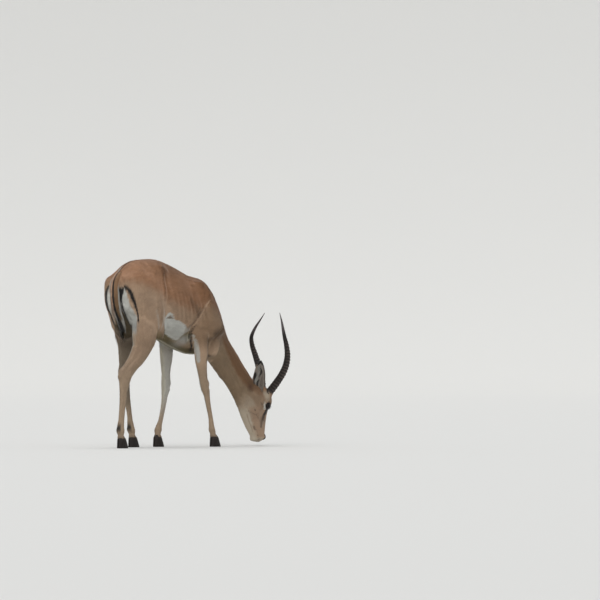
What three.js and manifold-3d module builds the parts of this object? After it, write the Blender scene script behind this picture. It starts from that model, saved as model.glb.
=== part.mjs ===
// A grazing impala ram, life size, in millimetres: +X forward, +Y to the animal's left, +Z up.
// While the forms are made, x runs forward from the root of the tail and z up from the floor.
// The finished group is then moved so that its box stands centred on the origin.
import * as THREE from 'three';
import Module from 'manifold-3d';

const wasm = await Module();
wasm.setup();

// ---- driving dimensions ---------------------------------------------------------------------

const GAP = 0.3; // between nodes that touch
const BODY_SIDES = 34;
const LEG_SIDES = 14;

// Trunk, neck and head are one form. Each station is a plane across it, from a point on the
// upper line (back, nape, bridge of the nose) to one on the lower line (belly, throat, jaw).
// half: half width; widest: where that width lies, as a share of the way from upper to lower;
// upper, lower: fullness of the two halves of the section, 2 being round and less a ridge.
const BODY = [
  { top: [37, 890], low: [62, 676], half: 66, widest: 0.45, upper: 2.0, lower: 1.9 },
  { top: [76, 921], low: [98, 634], half: 86, widest: 0.43, upper: 1.9, lower: 1.9 },
  { top: [128, 942], low: [140, 598], half: 96, widest: 0.42, upper: 1.85, lower: 1.9 },
  { top: [195, 949], low: [200, 566], half: 100, widest: 0.43, upper: 1.8, lower: 2.0 },
  { top: [262, 951], low: [262, 548], half: 103, widest: 0.46, upper: 1.8, lower: 2.1 },
  { top: [330, 940], low: [330, 531], half: 110, widest: 0.52, upper: 1.8, lower: 2.1 },
  { top: [424, 909], low: [420, 495], half: 115, widest: 0.54, upper: 1.8, lower: 2.0 },
  { top: [516, 873], low: [512, 468], half: 109, widest: 0.54, upper: 1.75, lower: 1.8 },
  { top: [600, 857], low: [590, 464], half: 97, widest: 0.54, upper: 1.65, lower: 1.7 },
  { top: [652, 833], low: [634, 461], half: 86, widest: 0.55, upper: 1.65, lower: 1.75 },
  { top: [700, 776], low: [663, 449], half: 76, widest: 0.55, upper: 1.75, lower: 1.85 },
  { top: [739, 704], low: [688, 427], half: 68, widest: 0.52, upper: 1.85, lower: 1.9 },
  { top: [770, 628], low: [713, 402], half: 61, widest: 0.5, upper: 1.9, lower: 2.0 },
  { top: [808, 555], low: [743, 372], half: 55, widest: 0.5, upper: 1.9, lower: 2.0 },
  { top: [857, 494], low: [776, 341], half: 50, widest: 0.5, upper: 1.9, lower: 2.0 },
  { top: [903, 431], low: [807, 308], half: 47, widest: 0.5, upper: 1.9, lower: 2.0 },
  { top: [942, 382], low: [835, 271], half: 45, widest: 0.48, upper: 1.9, lower: 2.0 },
  { top: [976, 341], low: [858, 234], half: 44, widest: 0.45, upper: 2.0, lower: 1.9 },
  { top: [1014, 322], low: [871, 207], half: 46, widest: 0.4, upper: 2.2, lower: 1.8 },
  { top: [1064, 296], low: [884, 183], half: 49, widest: 0.36, upper: 2.4, lower: 1.7 },
  { top: [1080, 248], low: [897, 158], half: 49, widest: 0.34, upper: 2.4, lower: 1.7 },
  { top: [1073, 200], low: [909, 133], half: 44, widest: 0.36, upper: 2.3, lower: 1.75 },
  { top: [1063, 159], low: [922, 110], half: 37, widest: 0.42, upper: 2.1, lower: 1.9 },
  { top: [1057, 121], low: [934, 89], half: 32, widest: 0.46, upper: 2.1, lower: 2.0 },
  { top: [1053, 88], low: [949, 68], half: 29, widest: 0.46, upper: 2.2, lower: 2.1 },
  { top: [1049, 64], low: [961, 50], half: 28, widest: 0.45, upper: 2.3, lower: 2.1 },
  { top: [1043, 45], low: [972, 37], half: 25, widest: 0.42, upper: 2.2, lower: 2.0 },
  { top: [1033, 31], low: [984, 27], half: 19, widest: 0.42, upper: 2.1, lower: 2.0 },
];
const RINGS_BETWEEN = [2, 2, 2, 2, 2, 2, 2, 2, 2, 2, 2, 2, 2, 2, 2, 2, 2, 2, 3, 3, 3, 3, 3, 2, 2, 2, 2];
const RUMP_DEPTH = 36; // the buttocks behind the first station
const NOSE_DEPTH = 12; // the lips and nose below the last
const CAP_RINGS = 4;
const NECK_STARTS = 10.5; // station numbers of the cuts
const HEAD_STARTS = 17.45;

// The neck bends to the animal's right, so that the head is turned.
const TURN = THREE.MathUtils.degToRad(9);
const TURN_FROM = 745;
const TURN_TO = 850;

// Muscle and bone under the skin, the same on both sides: smooth forms that melt into the body.
// at: centre; size: half lengths; tilt: degrees that its long axis leans forward.
const BODY_FORMS = [
  { name: 'thigh', at: [134, 66, 702], size: [110, 55, 170], tilt: -10, blend: 60 },
  { name: 'buttock', at: [60, 54, 768], size: [52, 36, 84], tilt: -8, blend: 50 },
  { name: 'point of the rump', at: [22, 48, 822], size: [20, 18, 26], tilt: 0, blend: 40 },
  { name: 'point of the hip', at: [254, 60, 890], size: [40, 19, 38], tilt: 0, blend: 45 },
  { name: 'flank fold', at: [226, 84, 606], size: [34, 18, 84], tilt: -22, blend: 40 },
  { name: 'shoulder blade', at: [586, 74, 706], size: [72, 26, 138], tilt: -18, blend: 50 },
  { name: 'upper arm', at: [598, 82, 606], size: [98, 32, 48], tilt: 0, blend: 45 },
  { name: 'breast', at: [668, 32, 520], size: [36, 38, 66], tilt: 25, blend: 40 },
  { name: 'cheek', at: [954, 33, 203], size: [46, 13, 48], tilt: 0, blend: 34 },
  { name: 'brow', at: [1053, 42, 230], size: [18, 15, 22], tilt: 10, blend: 16 },
  { name: 'orbit', at: [1036, 42, 204], size: [30, 17, 31], tilt: 6, blend: 14 },
  { name: 'nostril wing', at: [1035, 16, 44], size: [13, 10, 15], tilt: 0, blend: 10 },
  { name: 'chin', at: [980, 8, 34], size: [14, 14, 14], tilt: 0, blend: 14 },
  { name: 'horn boss', at: [1059, 38, 272], size: [23, 22, 20], tilt: 0, blend: 14 },
];
const BODY_HOLLOWS = [
  { name: 'hollow of the flank', at: [300, 140, 850], size: [70, 30, 45], tilt: 0, blend: 40 },
  { name: 'throat', at: [902, 66, 246], size: [22, 22, 44], tilt: 30, blend: 30 },
  { name: 'below the eye', at: [1020, 56, 152], size: [26, 22, 38], tilt: 6, blend: 16 },
  { name: 'beside the bridge', at: [1060, 45, 164], size: [18, 17, 28], tilt: 6, blend: 14 },
];

// Legs are cut by level planes: x is the middle of each, depth and width are half sizes.
const HOOF_TOP = 47;
const LEGS = {
  foreleg_right: {
    y: -89,
    levels: [
      { z: 680, x: 570, depth: 40, width: 8 },
      { z: 625, x: 556, depth: 58, width: 19 },
      { z: 575, x: 540, depth: 58, width: 27 },
      { z: 530, x: 531, depth: 49, width: 29 },
      { z: 430, x: 532, depth: 38, width: 25 },
      { z: 350, x: 547, depth: 27.5, width: 21 },
      { z: 318, x: 556, depth: 27, width: 24 },
      { z: 290, x: 563, depth: 25, width: 23 },
      { z: 258, x: 574, depth: 18.5, width: 17 },
      { z: 205, x: 586, depth: 15.5, width: 14.5 },
      { z: 135, x: 604, depth: 15, width: 14 },
      { z: 88, x: 611, depth: 17, width: 16.5 },
      { z: 62, x: 620, depth: 17.5, width: 19 },
      { z: HOOF_TOP, x: 627, depth: 21, width: 21 },
    ],
    cuts: [530, 303],
    toe: 634,
  },
  foreleg_left: {
    y: 90,
    levels: [
      { z: 680, x: 540, depth: 40, width: 8 },
      { z: 625, x: 508, depth: 60, width: 19 },
      { z: 575, x: 478, depth: 58, width: 27 },
      { z: 530, x: 463, depth: 45, width: 29 },
      { z: 430, x: 462, depth: 36, width: 25 },
      { z: 370, x: 461, depth: 27, width: 21 },
      { z: 322, x: 461, depth: 26.5, width: 24 },
      { z: 290, x: 460, depth: 25, width: 23 },
      { z: 255, x: 452, depth: 18.5, width: 17 },
      { z: 200, x: 441, depth: 15.5, width: 14.5 },
      { z: 130, x: 421, depth: 15, width: 14 },
      { z: 88, x: 405, depth: 19, width: 18.5 },
      { z: 62, x: 402, depth: 17.5, width: 19 },
      { z: HOOF_TOP, x: 404, depth: 21, width: 21 },
    ],
    cuts: [530, 306],
    toe: 408,
  },
  hindleg_right: {
    y: -90,
    levels: [
      { z: 730, x: 126, depth: 50, width: 8 },
      { z: 660, x: 126, depth: 96, width: 24 },
      { z: 565, x: 124, depth: 92, width: 33 },
      { z: 515, x: 119, depth: 77, width: 32 },
      { z: 455, x: 80, depth: 66, width: 29 },
      { z: 420, x: 47, depth: 64, width: 27 },
      { z: 390, x: 14, depth: 55, width: 25 },
      { z: 355, x: -10, depth: 43, width: 24 },
      { z: 322, x: -17, depth: 34, width: 21.5 },
      { z: 280, x: -24, depth: 24, width: 18 },
      { z: 215, x: -30, depth: 20, width: 16 },
      { z: 140, x: -39, depth: 19, width: 15.5 },
      { z: 92, x: -45, depth: 22, width: 20 },
      { z: 64, x: -43, depth: 18, width: 19 },
      { z: HOOF_TOP, x: -37, depth: 21, width: 21 },
    ],
    hock: [-52, 384],
    cuts: [505, 352],
    toe: -30,
  },
  hindleg_left: {
    y: 90,
    levels: [
      { z: 730, x: 140, depth: 50, width: 8 },
      { z: 660, x: 158, depth: 96, width: 24 },
      { z: 565, x: 183, depth: 89, width: 33 },
      { z: 515, x: 190, depth: 72, width: 32 },
      { z: 455, x: 183, depth: 57, width: 29 },
      { z: 420, x: 176, depth: 48, width: 27 },
      { z: 390, x: 168, depth: 40, width: 25 },
      { z: 355, x: 164, depth: 34, width: 24 },
      { z: 322, x: 167, depth: 31, width: 21.5 },
      { z: 280, x: 176, depth: 23, width: 18 },
      { z: 215, x: 189, depth: 18, width: 15.5 },
      { z: 140, x: 203, depth: 16.5, width: 15 },
      { z: 92, x: 210, depth: 22, width: 20 },
      { z: 64, x: 217, depth: 18, width: 19 },
      { z: HOOF_TOP, x: 223, depth: 21, width: 21 },
    ],
    hock: [141, 384],
    cuts: [505, 352],
    toe: 230,
  },
};
const LEG_NODES = {
  foreleg: ['shoulder', 'forearm', 'cannon'],
  hindleg: ['thigh', 'gaskin', 'cannon'],
};
// Side outline of the haunch and of the shoulder, where a leg is parted from the torso,
// and how far from the middle of the body the parting reaches inwards.
const HAUNCH = {
  y: 36,
  outline: [[-70, 640], [-30, 780], [36, 862], [120, 878], [205, 820], [268, 700], [300, 560], [310, 490]],
};
const SHOULDER = {
  y: 58,
  outline: [[410, 520], [456, 620], [520, 740], [572, 812], [625, 800], [686, 690], [712, 600], [700, 520]],
};

// Hooves: two claws side by side, each half a pointed oval.
const CLAW = { length: 33, width: 19, slit: 1.5, slope: 12 };

// Horns, from the middle of the base: up along the skull's crown, forward, and outward.
const HORN_BASE = { x: 1065, y: 37, z: 291 };
const HORN = [
  [-40, -31, -12], [-12, -6, 0], [38, 19, 30], [80, 31, 58], [123, 36, 80], [168, 32, 97],
  [223, 18, 107], [266, 10, 102], [313, 17, 79], [350, 28, 54], [389, 38, 26],
];
const HORN_RADIUS = 19.5;
const HORN_TIP = 1.4;
const HORN_FULLNESS = 1.8; // how late the horn thins, 1 being an even cone
const HORN_RINGS = 22;
const RINGED_SHARE = 0.66;
const RING_HEIGHT = 2.3;
const HORN_SIDES = 10;

// Ears: a cup of skin, rolled to a tube at its root.
// out, back: degrees from upright, each ear its own.
const EAR = { x: 984, y: 37, z: 276, length: 172, half: 31.5, cup: 17, thick: 3.4 };
const EAR_LEAN = { right: { out: 20, back: 9 }, left: { out: 2, back: -20 } };

const EYE = { x: 1037, y: 40.5, z: 205, radius: 18.5 };
const LID = { long: 16, short: 15, lift: 11.5, thick: 2.4 };

const TAIL = {
  spine: [
    [60, 0, 870], [38, -1, 864], [14, -3, 840], [2, -6, 808], [-1, -8, 776], [1, -8, 742], [6, -9, 708],
    [15, -11, 676], [23, -13, 650], [32, -14, 620],
  ],
  half: 25,
  locks: 22,
  lockLength: 74,
};

const COLOURS = {
  back: 0xa8714a, neck: 0x9a7454, face: 0xa98d72, leg: 0xab9277, horn: 0x3a322c,
  ear: 0xb5a592, eye: 0x0d0a09, hoof: 0x24201e, tail: 0x5a4030,
};

// ---- helpers --------------------------------------------------------------------------------

const mix = THREE.MathUtils.lerp;
const ramp = THREE.MathUtils.smoothstep;
const vec = (x, y, z) => new THREE.Vector3(x, y, z);

// A value that runs smoothly through the given ones, at a place counted in their steps.
function along(values, place) {
  const last = values.length - 1;
  const i = Math.min(Math.floor(place), last - 1);
  const f = place - i;
  const [a, b, c, d] = [i - 1, i, i + 1, i + 2].map((k) => values[THREE.MathUtils.clamp(k, 0, last)]);
  const slopeB = (c - a) / 2;
  const slopeC = (d - b) / 2;
  const f2 = f * f;
  const f3 = f2 * f;
  return (2 * f3 - 3 * f2 + 1) * b + (f3 - 2 * f2 + f) * slopeB + (3 * f2 - 2 * f3) * c + (f3 - f2) * slopeC;
}

// The same for values at uneven levels, each falling from the one before.
function atLevel(levels, key, z) {
  let i = 0;
  while (i < levels.length - 2 && z < levels[i + 1].z) i += 1;
  const share = (levels[i].z - z) / (levels[i].z - levels[i + 1].z);
  return along(levels.map((level) => level[key]), i + THREE.MathUtils.clamp(share, 0, 1));
}

// A closed solid from points and triangles, turned so that its faces point out.
function solid(points, triangles) {
  let volume = 0;
  for (const [a, b, c] of triangles) {
    volume += points[a].dot(vec(0, 0, 0).crossVectors(points[b], points[c])) / 6;
  }
  const turned = volume < 0 ? triangles.map(([a, b, c]) => [a, c, b]) : triangles;
  return new wasm.Manifold(new wasm.Mesh({
    numProp: 3,
    vertProperties: new Float32Array(points.flatMap((p) => [p.x, p.y, p.z])),
    triVerts: new Uint32Array(turned.flat()),
  }));
}

// A skin over rings of equally many points, closed at both ends by a fan to a pole.
function loft(rings, startPole, endPole) {
  const sides = rings[0].length;
  const points = rings.flat();
  const triangles = [];
  for (let i = 0; i + 1 < rings.length; i += 1) {
    for (let j = 0; j < sides; j += 1) {
      const a = i * sides + j;
      const b = i * sides + (j + 1) % sides;
      const c = b + sides;
      const d = a + sides;
      if (points[a].distanceTo(points[c]) < points[b].distanceTo(points[d])) {
        triangles.push([a, b, c], [a, c, d]);
      } else {
        triangles.push([a, b, d], [b, c, d]);
      }
    }
  }
  const middle = (ring) => ring.reduce((sum, p) => sum.add(p), vec(0, 0, 0)).divideScalar(sides);
  points.push(startPole ?? middle(rings[0]), endPole ?? middle(rings.at(-1)));
  const last = (rings.length - 1) * sides;
  for (let j = 0; j < sides; j += 1) {
    const k = (j + 1) % sides;
    triangles.push([points.length - 2, k, j], [points.length - 1, last + j, last + k]);
  }
  return solid(points, triangles);
}

// A three.js geometry as a closed solid.
function solidOf(geometry) {
  const place = geometry.getAttribute('position');
  const seen = new Map();
  const points = [];
  const corner = (i) => {
    const p = vec(0, 0, 0).fromBufferAttribute(place, i);
    const key = p.toArray().map((value) => Math.round(value * 1000)).join();
    if (!seen.has(key)) {
      seen.set(key, points.length);
      points.push(p);
    }
    return seen.get(key);
  };
  const index = geometry.index ? Array.from(geometry.index.array) : [...Array(place.count).keys()];
  const triangles = [];
  for (let i = 0; i < index.length; i += 3) {
    const [a, b, c] = [corner(index[i]), corner(index[i + 1]), corner(index[i + 2])];
    if (a !== b && b !== c && c !== a) triangles.push([a, b, c]);
  }
  return solid(points, triangles);
}

// The largest closed surface of a solid: hollows are filled and loose scraps dropped.
function largest(shape) {
  const pieces = shape.decompose();
  return pieces.reduce((best, piece) => (piece.volume() > best.volume() ? piece : best));
}

// A block of all that lies ahead of a plane across the body, through an upper and a lower point.
const FAR = 3000;
function beyond(top, low, shift = 0) {
  const rise = top.clone().sub(low).normalize();
  const right = vec(0, -1, 0);
  const ahead = rise.clone().cross(right);
  const block = new THREE.BoxGeometry(FAR, FAR, FAR);
  block.translate(0, 0, FAR / 2 + shift);
  block.applyMatrix4(new THREE.Matrix4().makeBasis(rise, right, ahead).setPosition(low));
  return solidOf(block);
}

const between = (shape, low, high) => {
  const slab = new THREE.BoxGeometry(FAR, FAR, high - low);
  slab.translate(0, 0, (low + high) / 2);
  return shape.intersect(solidOf(slab));
};

// ---- the smooth forms under the skin --------------------------------------------------------

function smoothMin(a, b, blend) {
  const near = Math.max(blend - Math.abs(a - b), 0) / blend;
  return Math.min(a, b) - near * near * blend / 4;
}

function ellipsoidDistance(form, x, y, z) {
  const lean = THREE.MathUtils.degToRad(form.tilt);
  const dx = x - form.at[0];
  const dz = z - form.at[2];
  const local = [
    (dx * Math.cos(lean) - dz * Math.sin(lean)) / form.size[0],
    (Math.abs(y) - form.at[1]) / form.size[1],
    (dx * Math.sin(lean) + dz * Math.cos(lean)) / form.size[2],
  ];
  const length = Math.hypot(...local);
  const slope = Math.hypot(local[0] / form.size[0], local[1] / form.size[1], local[2] / form.size[2]);
  return slope > 0 ? length * (length - 1) / slope : -Math.min(...form.size);
}

// How far a ray leaves its origin before it comes out of the body: the plain section is passed
// at reach, and the forms push that out or, where they are hollows, draw it in.
function surfaceAlong(origin, direction, reach, forms, hollows) {
  let t = reach + 150;
  for (let step = 0; step < 90; step += 1) {
    const [x, y, z] = [0, 1, 2].map((k) => origin.getComponent(k) + direction.getComponent(k) * t);
    let distance = t - reach;
    for (const form of forms) {
      distance = smoothMin(distance, ellipsoidDistance(form, x, y, z), form.blend);
    }
    for (const form of hollows) {
      distance = -smoothMin(-distance, ellipsoidDistance(form, x, y, z), form.blend);
    }
    if (distance < 0.02) break;
    t -= distance * 0.85;
  }
  return t;
}

// A point of a section whose two halves differ in fullness.
function sectionPoint(angle, half, up, down, upper, lower) {
  const fullness = Math.sin(angle) > 0 ? upper : lower;
  const side = Math.sign(Math.cos(angle)) * Math.abs(Math.cos(angle)) ** (2 / fullness);
  const rise = Math.abs(Math.sin(angle)) ** (2 / fullness);
  return [half * side, Math.sin(angle) > 0 ? up * rise : -down * rise];
}

// ---- trunk, neck and head -------------------------------------------------------------------

const station = (key) => BODY.map((entry) => entry[key]);
const stationAxis = (key, axis) => BODY.map((entry) => entry[key][axis]);

function bodyPlane(place) {
  const top = vec(along(stationAxis('top', 0), place), 0, along(stationAxis('top', 1), place));
  const low = vec(along(stationAxis('low', 0), place), 0, along(stationAxis('low', 1), place));
  const centre = top.clone().lerp(low, along(station('widest'), place));
  return {
    centre, top, low,
    up: top.distanceTo(centre),
    down: low.distanceTo(centre),
    rise: top.clone().sub(low).normalize(),
    half: along(station('half'), place),
    upper: along(station('upper'), place),
    lower: along(station('lower'), place),
  };
}

// One ring. lean turns the rays out of the plane, towards the end of the body, where depth says
// how far the end lies from the plane.
function bodyRing(place, grow = 0, lean = 0, depth = 0) {
  const plane = bodyPlane(place);
  const ahead = vec(plane.rise.z, 0, -plane.rise.x).multiplyScalar(Math.sign(depth));
  const ring = [];
  for (let j = 0; j < BODY_SIDES; j += 1) {
    const angle = (j + 0.5) / BODY_SIDES * 2 * Math.PI;
    const [side, rise] = sectionPoint(angle, plane.half, plane.up, plane.down, plane.upper, plane.lower);
    const inPlane = vec(0, side, 0).addScaledVector(plane.rise, rise);
    let reach = inPlane.length();
    const direction = inPlane.normalize();
    if (lean > 0) {
      reach = 1 / Math.hypot(Math.cos(lean) / reach, Math.sin(lean) / Math.abs(depth));
      direction.multiplyScalar(Math.cos(lean)).addScaledVector(ahead, Math.sin(lean));
    }
    const out = surfaceAlong(plane.centre, direction, reach, BODY_FORMS, BODY_HOLLOWS) + grow;
    ring.push(plane.centre.clone().addScaledVector(direction, out));
  }
  return ring;
}

function bodyPole(place, depth, grow) {
  const plane = bodyPlane(place);
  const ahead = vec(plane.rise.z, 0, -plane.rise.x).multiplyScalar(Math.sign(depth));
  const out = surfaceAlong(plane.centre, ahead, Math.abs(depth), BODY_FORMS, BODY_HOLLOWS) + grow;
  return plane.centre.clone().addScaledVector(ahead, out);
}

function bodySolid(grow = 0) {
  const last = BODY.length - 1;
  const leans = Array.from({ length: CAP_RINGS }, (_, i) => (i + 1) / (CAP_RINGS + 1) * Math.PI / 2);
  const rings = leans.toReversed().map((lean) => bodyRing(0, grow, lean, -RUMP_DEPTH));
  RINGS_BETWEEN.forEach((count, i) => {
    for (let k = 0; k < count; k += 1) rings.push(bodyRing(i + k / count, grow));
  });
  rings.push(bodyRing(last, grow));
  rings.push(...leans.map((lean) => bodyRing(last, grow, lean, NOSE_DEPTH)));
  return loft(rings, bodyPole(0, -RUMP_DEPTH, grow), bodyPole(last, NOSE_DEPTH, grow));
}

// A point on the side of the body, in the plane at a station, at a share of the way down it.
function onBody(place, angle, side, lift = 0) {
  const plane = bodyPlane(place);
  const [across, rise] = sectionPoint(angle, plane.half, plane.up, plane.down, plane.upper, plane.lower);
  const direction = vec(0, across * side, 0).addScaledVector(plane.rise, rise);
  const reach = direction.length();
  direction.normalize();
  const out = surfaceAlong(plane.centre, direction, reach, BODY_FORMS, BODY_HOLLOWS) + lift;
  return plane.centre.clone().addScaledVector(direction, out);
}

// A tube of changing radius along points, as a closed solid with pointed ends.
function tube(path, radii, sides) {
  const curve = new THREE.CatmullRomCurve3(path, false, 'centripetal');
  const steps = radii.length - 1;
  const frames = curve.computeFrenetFrames(steps, false);
  const rings = radii.map((radius, i) => {
    const centre = curve.getPointAt(i / steps);
    return Array.from({ length: sides }, (_, j) => {
      const angle = j / sides * 2 * Math.PI;
      return centre.clone()
        .addScaledVector(frames.normals[i], radius * Math.cos(angle))
        .addScaledVector(frames.binormals[i], radius * Math.sin(angle));
    });
  });
  return loft(rings);
}

// ---- legs -----------------------------------------------------------------------------------

function legSolid(leg) {
  const { levels, y, hock } = leg;
  const forms = hock
    ? [{ at: [hock[0], Math.abs(y), hock[1]], size: [17, 13, 34], tilt: 18, blend: 22 }]
    : [];
  const rings = [];
  for (let i = 0; i + 1 < levels.length; i += 1) {
    const count = levels[i].z - levels[i + 1].z > 40 ? 2 : 1;
    for (let k = 0; k < count; k += 1) rings.push(mix(levels[i].z, levels[i + 1].z, k / count));
  }
  rings.push(HOOF_TOP);
  return loft(rings.map((z) => {
    const centre = vec(atLevel(levels, 'x', z), y, z);
    const depth = atLevel(levels, 'depth', z);
    const width = atLevel(levels, 'width', z);
    return Array.from({ length: LEG_SIDES }, (_, j) => {
      const angle = (j + 0.5) / LEG_SIDES * 2 * Math.PI;
      const reach = 1 / Math.hypot(Math.cos(angle) / depth, Math.sin(angle) / width);
      const direction = vec(Math.cos(angle), Math.sin(angle), 0);
      return centre.clone().addScaledVector(direction, surfaceAlong(centre, direction, reach, forms, []));
    });
  }));
}

// One claw: a straight inner wall, a bowed outer one and a toe that slopes forward to a point.
function clawSolid(toe, y, side) {
  const top = HOOF_TOP - GAP;
  const rows = [0, 0.12, 0.55, 1];
  const rings = rows.map((share) => {
    const round = share === 0 ? 0.94 : 1;
    const length = mix(CLAW.length, CLAW.length - CLAW.slope, share) * round;
    const middle = mix(toe, toe - CLAW.slope * 0.62, share);
    const ring = [];
    const steps = 7;
    for (let j = 0; j <= steps; j += 1) {
      const angle = j / steps * Math.PI;
      const point = Math.cos(angle) > 0 ? 0.75 : 1.25;
      const out = CLAW.width * Math.sin(angle) ** (point * 0.8) * round;
      ring.push(vec(middle + length * Math.cos(angle), y + side * (CLAW.slit + Math.max(out, 1)), share * top));
    }
    for (let j = steps - 1; j > 0; j -= 1) {
      const angle = j / steps * Math.PI;
      ring.push(vec(middle + length * Math.cos(angle), y + side * CLAW.slit, share * top));
    }
    return ring;
  });
  return loft(rings);
}

// The prism that parts a leg from the torso above a level, grown outwards by a clearance.
const PRISM_DEPTH = 400;
function parting(region, side, level, clearance) {
  const curve = new THREE.CatmullRomCurve3(region.outline.map(([x, z]) => vec(x, z, 0)), false, 'centripetal');
  const centre = vec(mix(region.outline[0][0], region.outline.at(-1)[0], 0.5), level, 0);
  const edge = curve.getSpacedPoints(24).map((p) => (
    p.clone().addScaledVector(p.clone().sub(centre).normalize(), clearance)
  ));
  const shape = new THREE.Shape();
  shape.moveTo(edge[0].x, level - clearance);
  edge.filter((p) => p.y > level - clearance + 1).forEach((p) => shape.lineTo(p.x, p.y));
  shape.lineTo(edge.at(-1).x, level - clearance);
  const prism = new THREE.ExtrudeGeometry(shape, { depth: PRISM_DEPTH, bevelEnabled: false });
  prism.rotateX(Math.PI / 2);
  const inner = region.y - clearance;
  prism.translate(0, side > 0 ? inner + PRISM_DEPTH : -inner, 0);
  return solidOf(prism);
}

// ---- horns, ears, eyes, tail ----------------------------------------------------------------

function hornSolid(side) {
  const path = HORN.map(([up, forward, out]) => vec(
    HORN_BASE.x + forward, side * (HORN_BASE.y + out), HORN_BASE.z + up,
  ));
  const ringed = Array.from({ length: HORN_RINGS * 3 }, (_, i) => i / (HORN_RINGS * 3) * RINGED_SHARE);
  const smooth = Array.from({ length: 9 }, (_, i) => mix(RINGED_SHARE, 1, i / 8));
  const curve = new THREE.CatmullRomCurve3(path, false, 'centripetal');
  const places = [...ringed, ...smooth];
  return loft(places.map((share, i) => {
    const centre = curve.getPointAt(share);
    const tangent = curve.getTangentAt(share);
    const across = vec(1, 0, 0).cross(tangent).normalize();
    const forward = tangent.clone().cross(across).normalize();
    const taper = mix(HORN_RADIUS, HORN_TIP, share ** HORN_FULLNESS);
    const ridge = i < ringed.length ? [0.15, 1, 0.45][i % 3] * RING_HEIGHT * (1 - 0.5 * share) : 0;
    return Array.from({ length: HORN_SIDES }, (_, j) => {
      const angle = j / HORN_SIDES * 2 * Math.PI;
      const front = 0.55 + 0.45 * Math.cos(angle);
      const radius = taper * (1 + 0.06 * Math.cos(angle)) + ridge * front;
      return centre.clone()
        .addScaledVector(forward, radius * 1.08 * Math.cos(angle))
        .addScaledVector(across, radius * 0.95 * Math.sin(angle));
    });
  }));
}

function earSolid(side) {
  const rows = 10;
  const steps = 6;
  const { out, back } = side > 0 ? EAR_LEAN.left : EAR_LEAN.right;
  const lean = THREE.MathUtils.degToRad(out);
  const tip = THREE.MathUtils.degToRad(back);
  const rise = vec(-Math.sin(tip), side * Math.sin(lean), Math.cos(lean)).normalize();
  const open = vec(-0.6, side * 0.8, 0.05).cross(rise).cross(rise).negate().normalize();
  const wide = rise.clone().cross(open).normalize();
  const rings = [];
  for (let i = 0; i <= rows; i += 1) {
    const share = i / rows;
    const half = EAR.half * Math.sin(Math.PI * (0.13 + 0.87 * share) ** 0.9) ** 0.62 + 0.8;
    const roll = mix(1.5, 0.55, ramp(share, 0, 0.55));
    const depth = EAR.cup * mix(0.9, 0.25, share);
    const centre = vec(EAR.x, side * EAR.y, EAR.z).addScaledVector(rise, EAR.length * share);
    const thick = EAR.thick * mix(1.5, 0.5, share);
    const outer = [];
    const inner = [];
    for (let j = 0; j <= steps; j += 1) {
      const angle = (j / steps * 2 - 1) * roll;
      const across = half * Math.sin(angle) / Math.sin(Math.min(roll, Math.PI / 2));
      const fall = -depth * Math.cos(angle) / 1;
      const rim = j === 0 || j === steps ? 0.35 : 1;
      outer.push(centre.clone().addScaledVector(wide, across).addScaledVector(open, fall - thick * rim));
      inner.push(centre.clone().addScaledVector(wide, across * 0.97).addScaledVector(open, fall + thick * 0.2));
    }
    rings.push([...outer, ...inner.reverse()]);
  }
  return loft(rings);
}

// A ball of rings, its poles to the sides.
function ball(centre, radius, rows, sides) {
  const rings = [];
  for (let i = 1; i < rows; i += 1) {
    const lean = i / rows * Math.PI;
    rings.push(Array.from({ length: sides }, (_, j) => {
      const angle = j / sides * 2 * Math.PI;
      return centre.clone().add(vec(
        radius * Math.sin(lean) * Math.cos(angle),
        -radius * Math.cos(lean),
        radius * Math.sin(lean) * Math.sin(angle),
      ));
    }));
  }
  return loft(rings, centre.clone().add(vec(0, -radius, 0)), centre.clone().add(vec(0, radius, 0)));
}

const eyeCentre = (side) => vec(EYE.x, side * EYE.y, EYE.z);

// The eyelids look out and a little forward. Their opening is an almond, its long way up the head.
function eyeAxes(side) {
  const look = vec(0.1, side * 0.95, -0.16).normalize();
  const tall = vec(-0.3, 0, 1).projectOnPlane(look).normalize();
  return { look, tall, wide: tall.clone().cross(look).normalize() };
}

function almond(side, angle, grow, lift) {
  const { look, tall, wide } = eyeAxes(side);
  return eyeCentre(side)
    .addScaledVector(tall, (LID.long + grow) * Math.cos(angle))
    .addScaledVector(wide, (LID.short + grow) * Math.sin(angle) * Math.abs(Math.sin(angle)) ** 0.3)
    .addScaledVector(look, lift - 5 * Math.cos(angle) ** 2);
}

const LID_STEPS = 16;
const turnsOf = (steps) => Array.from({ length: steps }, (_, i) => i / steps * 2 * Math.PI);

// The rim of the lids, a closed roll round the opening.
function lidSolid(side) {
  const { look } = eyeAxes(side);
  const rolls = turnsOf(6);
  const points = [];
  const triangles = [];
  for (const angle of turnsOf(LID_STEPS)) {
    const seat = almond(side, angle, LID.thick, LID.lift + LID.thick * 0.9);
    const away = almond(side, angle, 9, 0).sub(almond(side, angle, 0, 0)).normalize();
    for (const roll of rolls) {
      points.push(seat.clone()
        .addScaledVector(away, LID.thick * 1.7 * Math.cos(roll))
        .addScaledVector(look, LID.thick * Math.sin(roll)));
    }
  }
  const count = rolls.length;
  for (let i = 0; i < LID_STEPS; i += 1) {
    const next = (i + 1) % LID_STEPS;
    for (let j = 0; j < count; j += 1) {
      const k = (j + 1) % count;
      triangles.push([i * count + j, i * count + k, next * count + k]);
      triangles.push([i * count + j, next * count + k, next * count + j]);
    }
  }
  return solid(points, triangles);
}

// What is cut away so that the ball shows between the lids.
function lidOpening(side) {
  const outline = (lift) => turnsOf(LID_STEPS).map((angle) => almond(side, angle, 0, lift));
  return loft([outline(0), outline(LID.lift + 14)]);
}

// Repeatable draws.
let seed = 20;
function draw(low, high) {
  seed = (seed * 16807) % 2147483647;
  return mix(low, high, seed / 2147483647);
}

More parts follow.
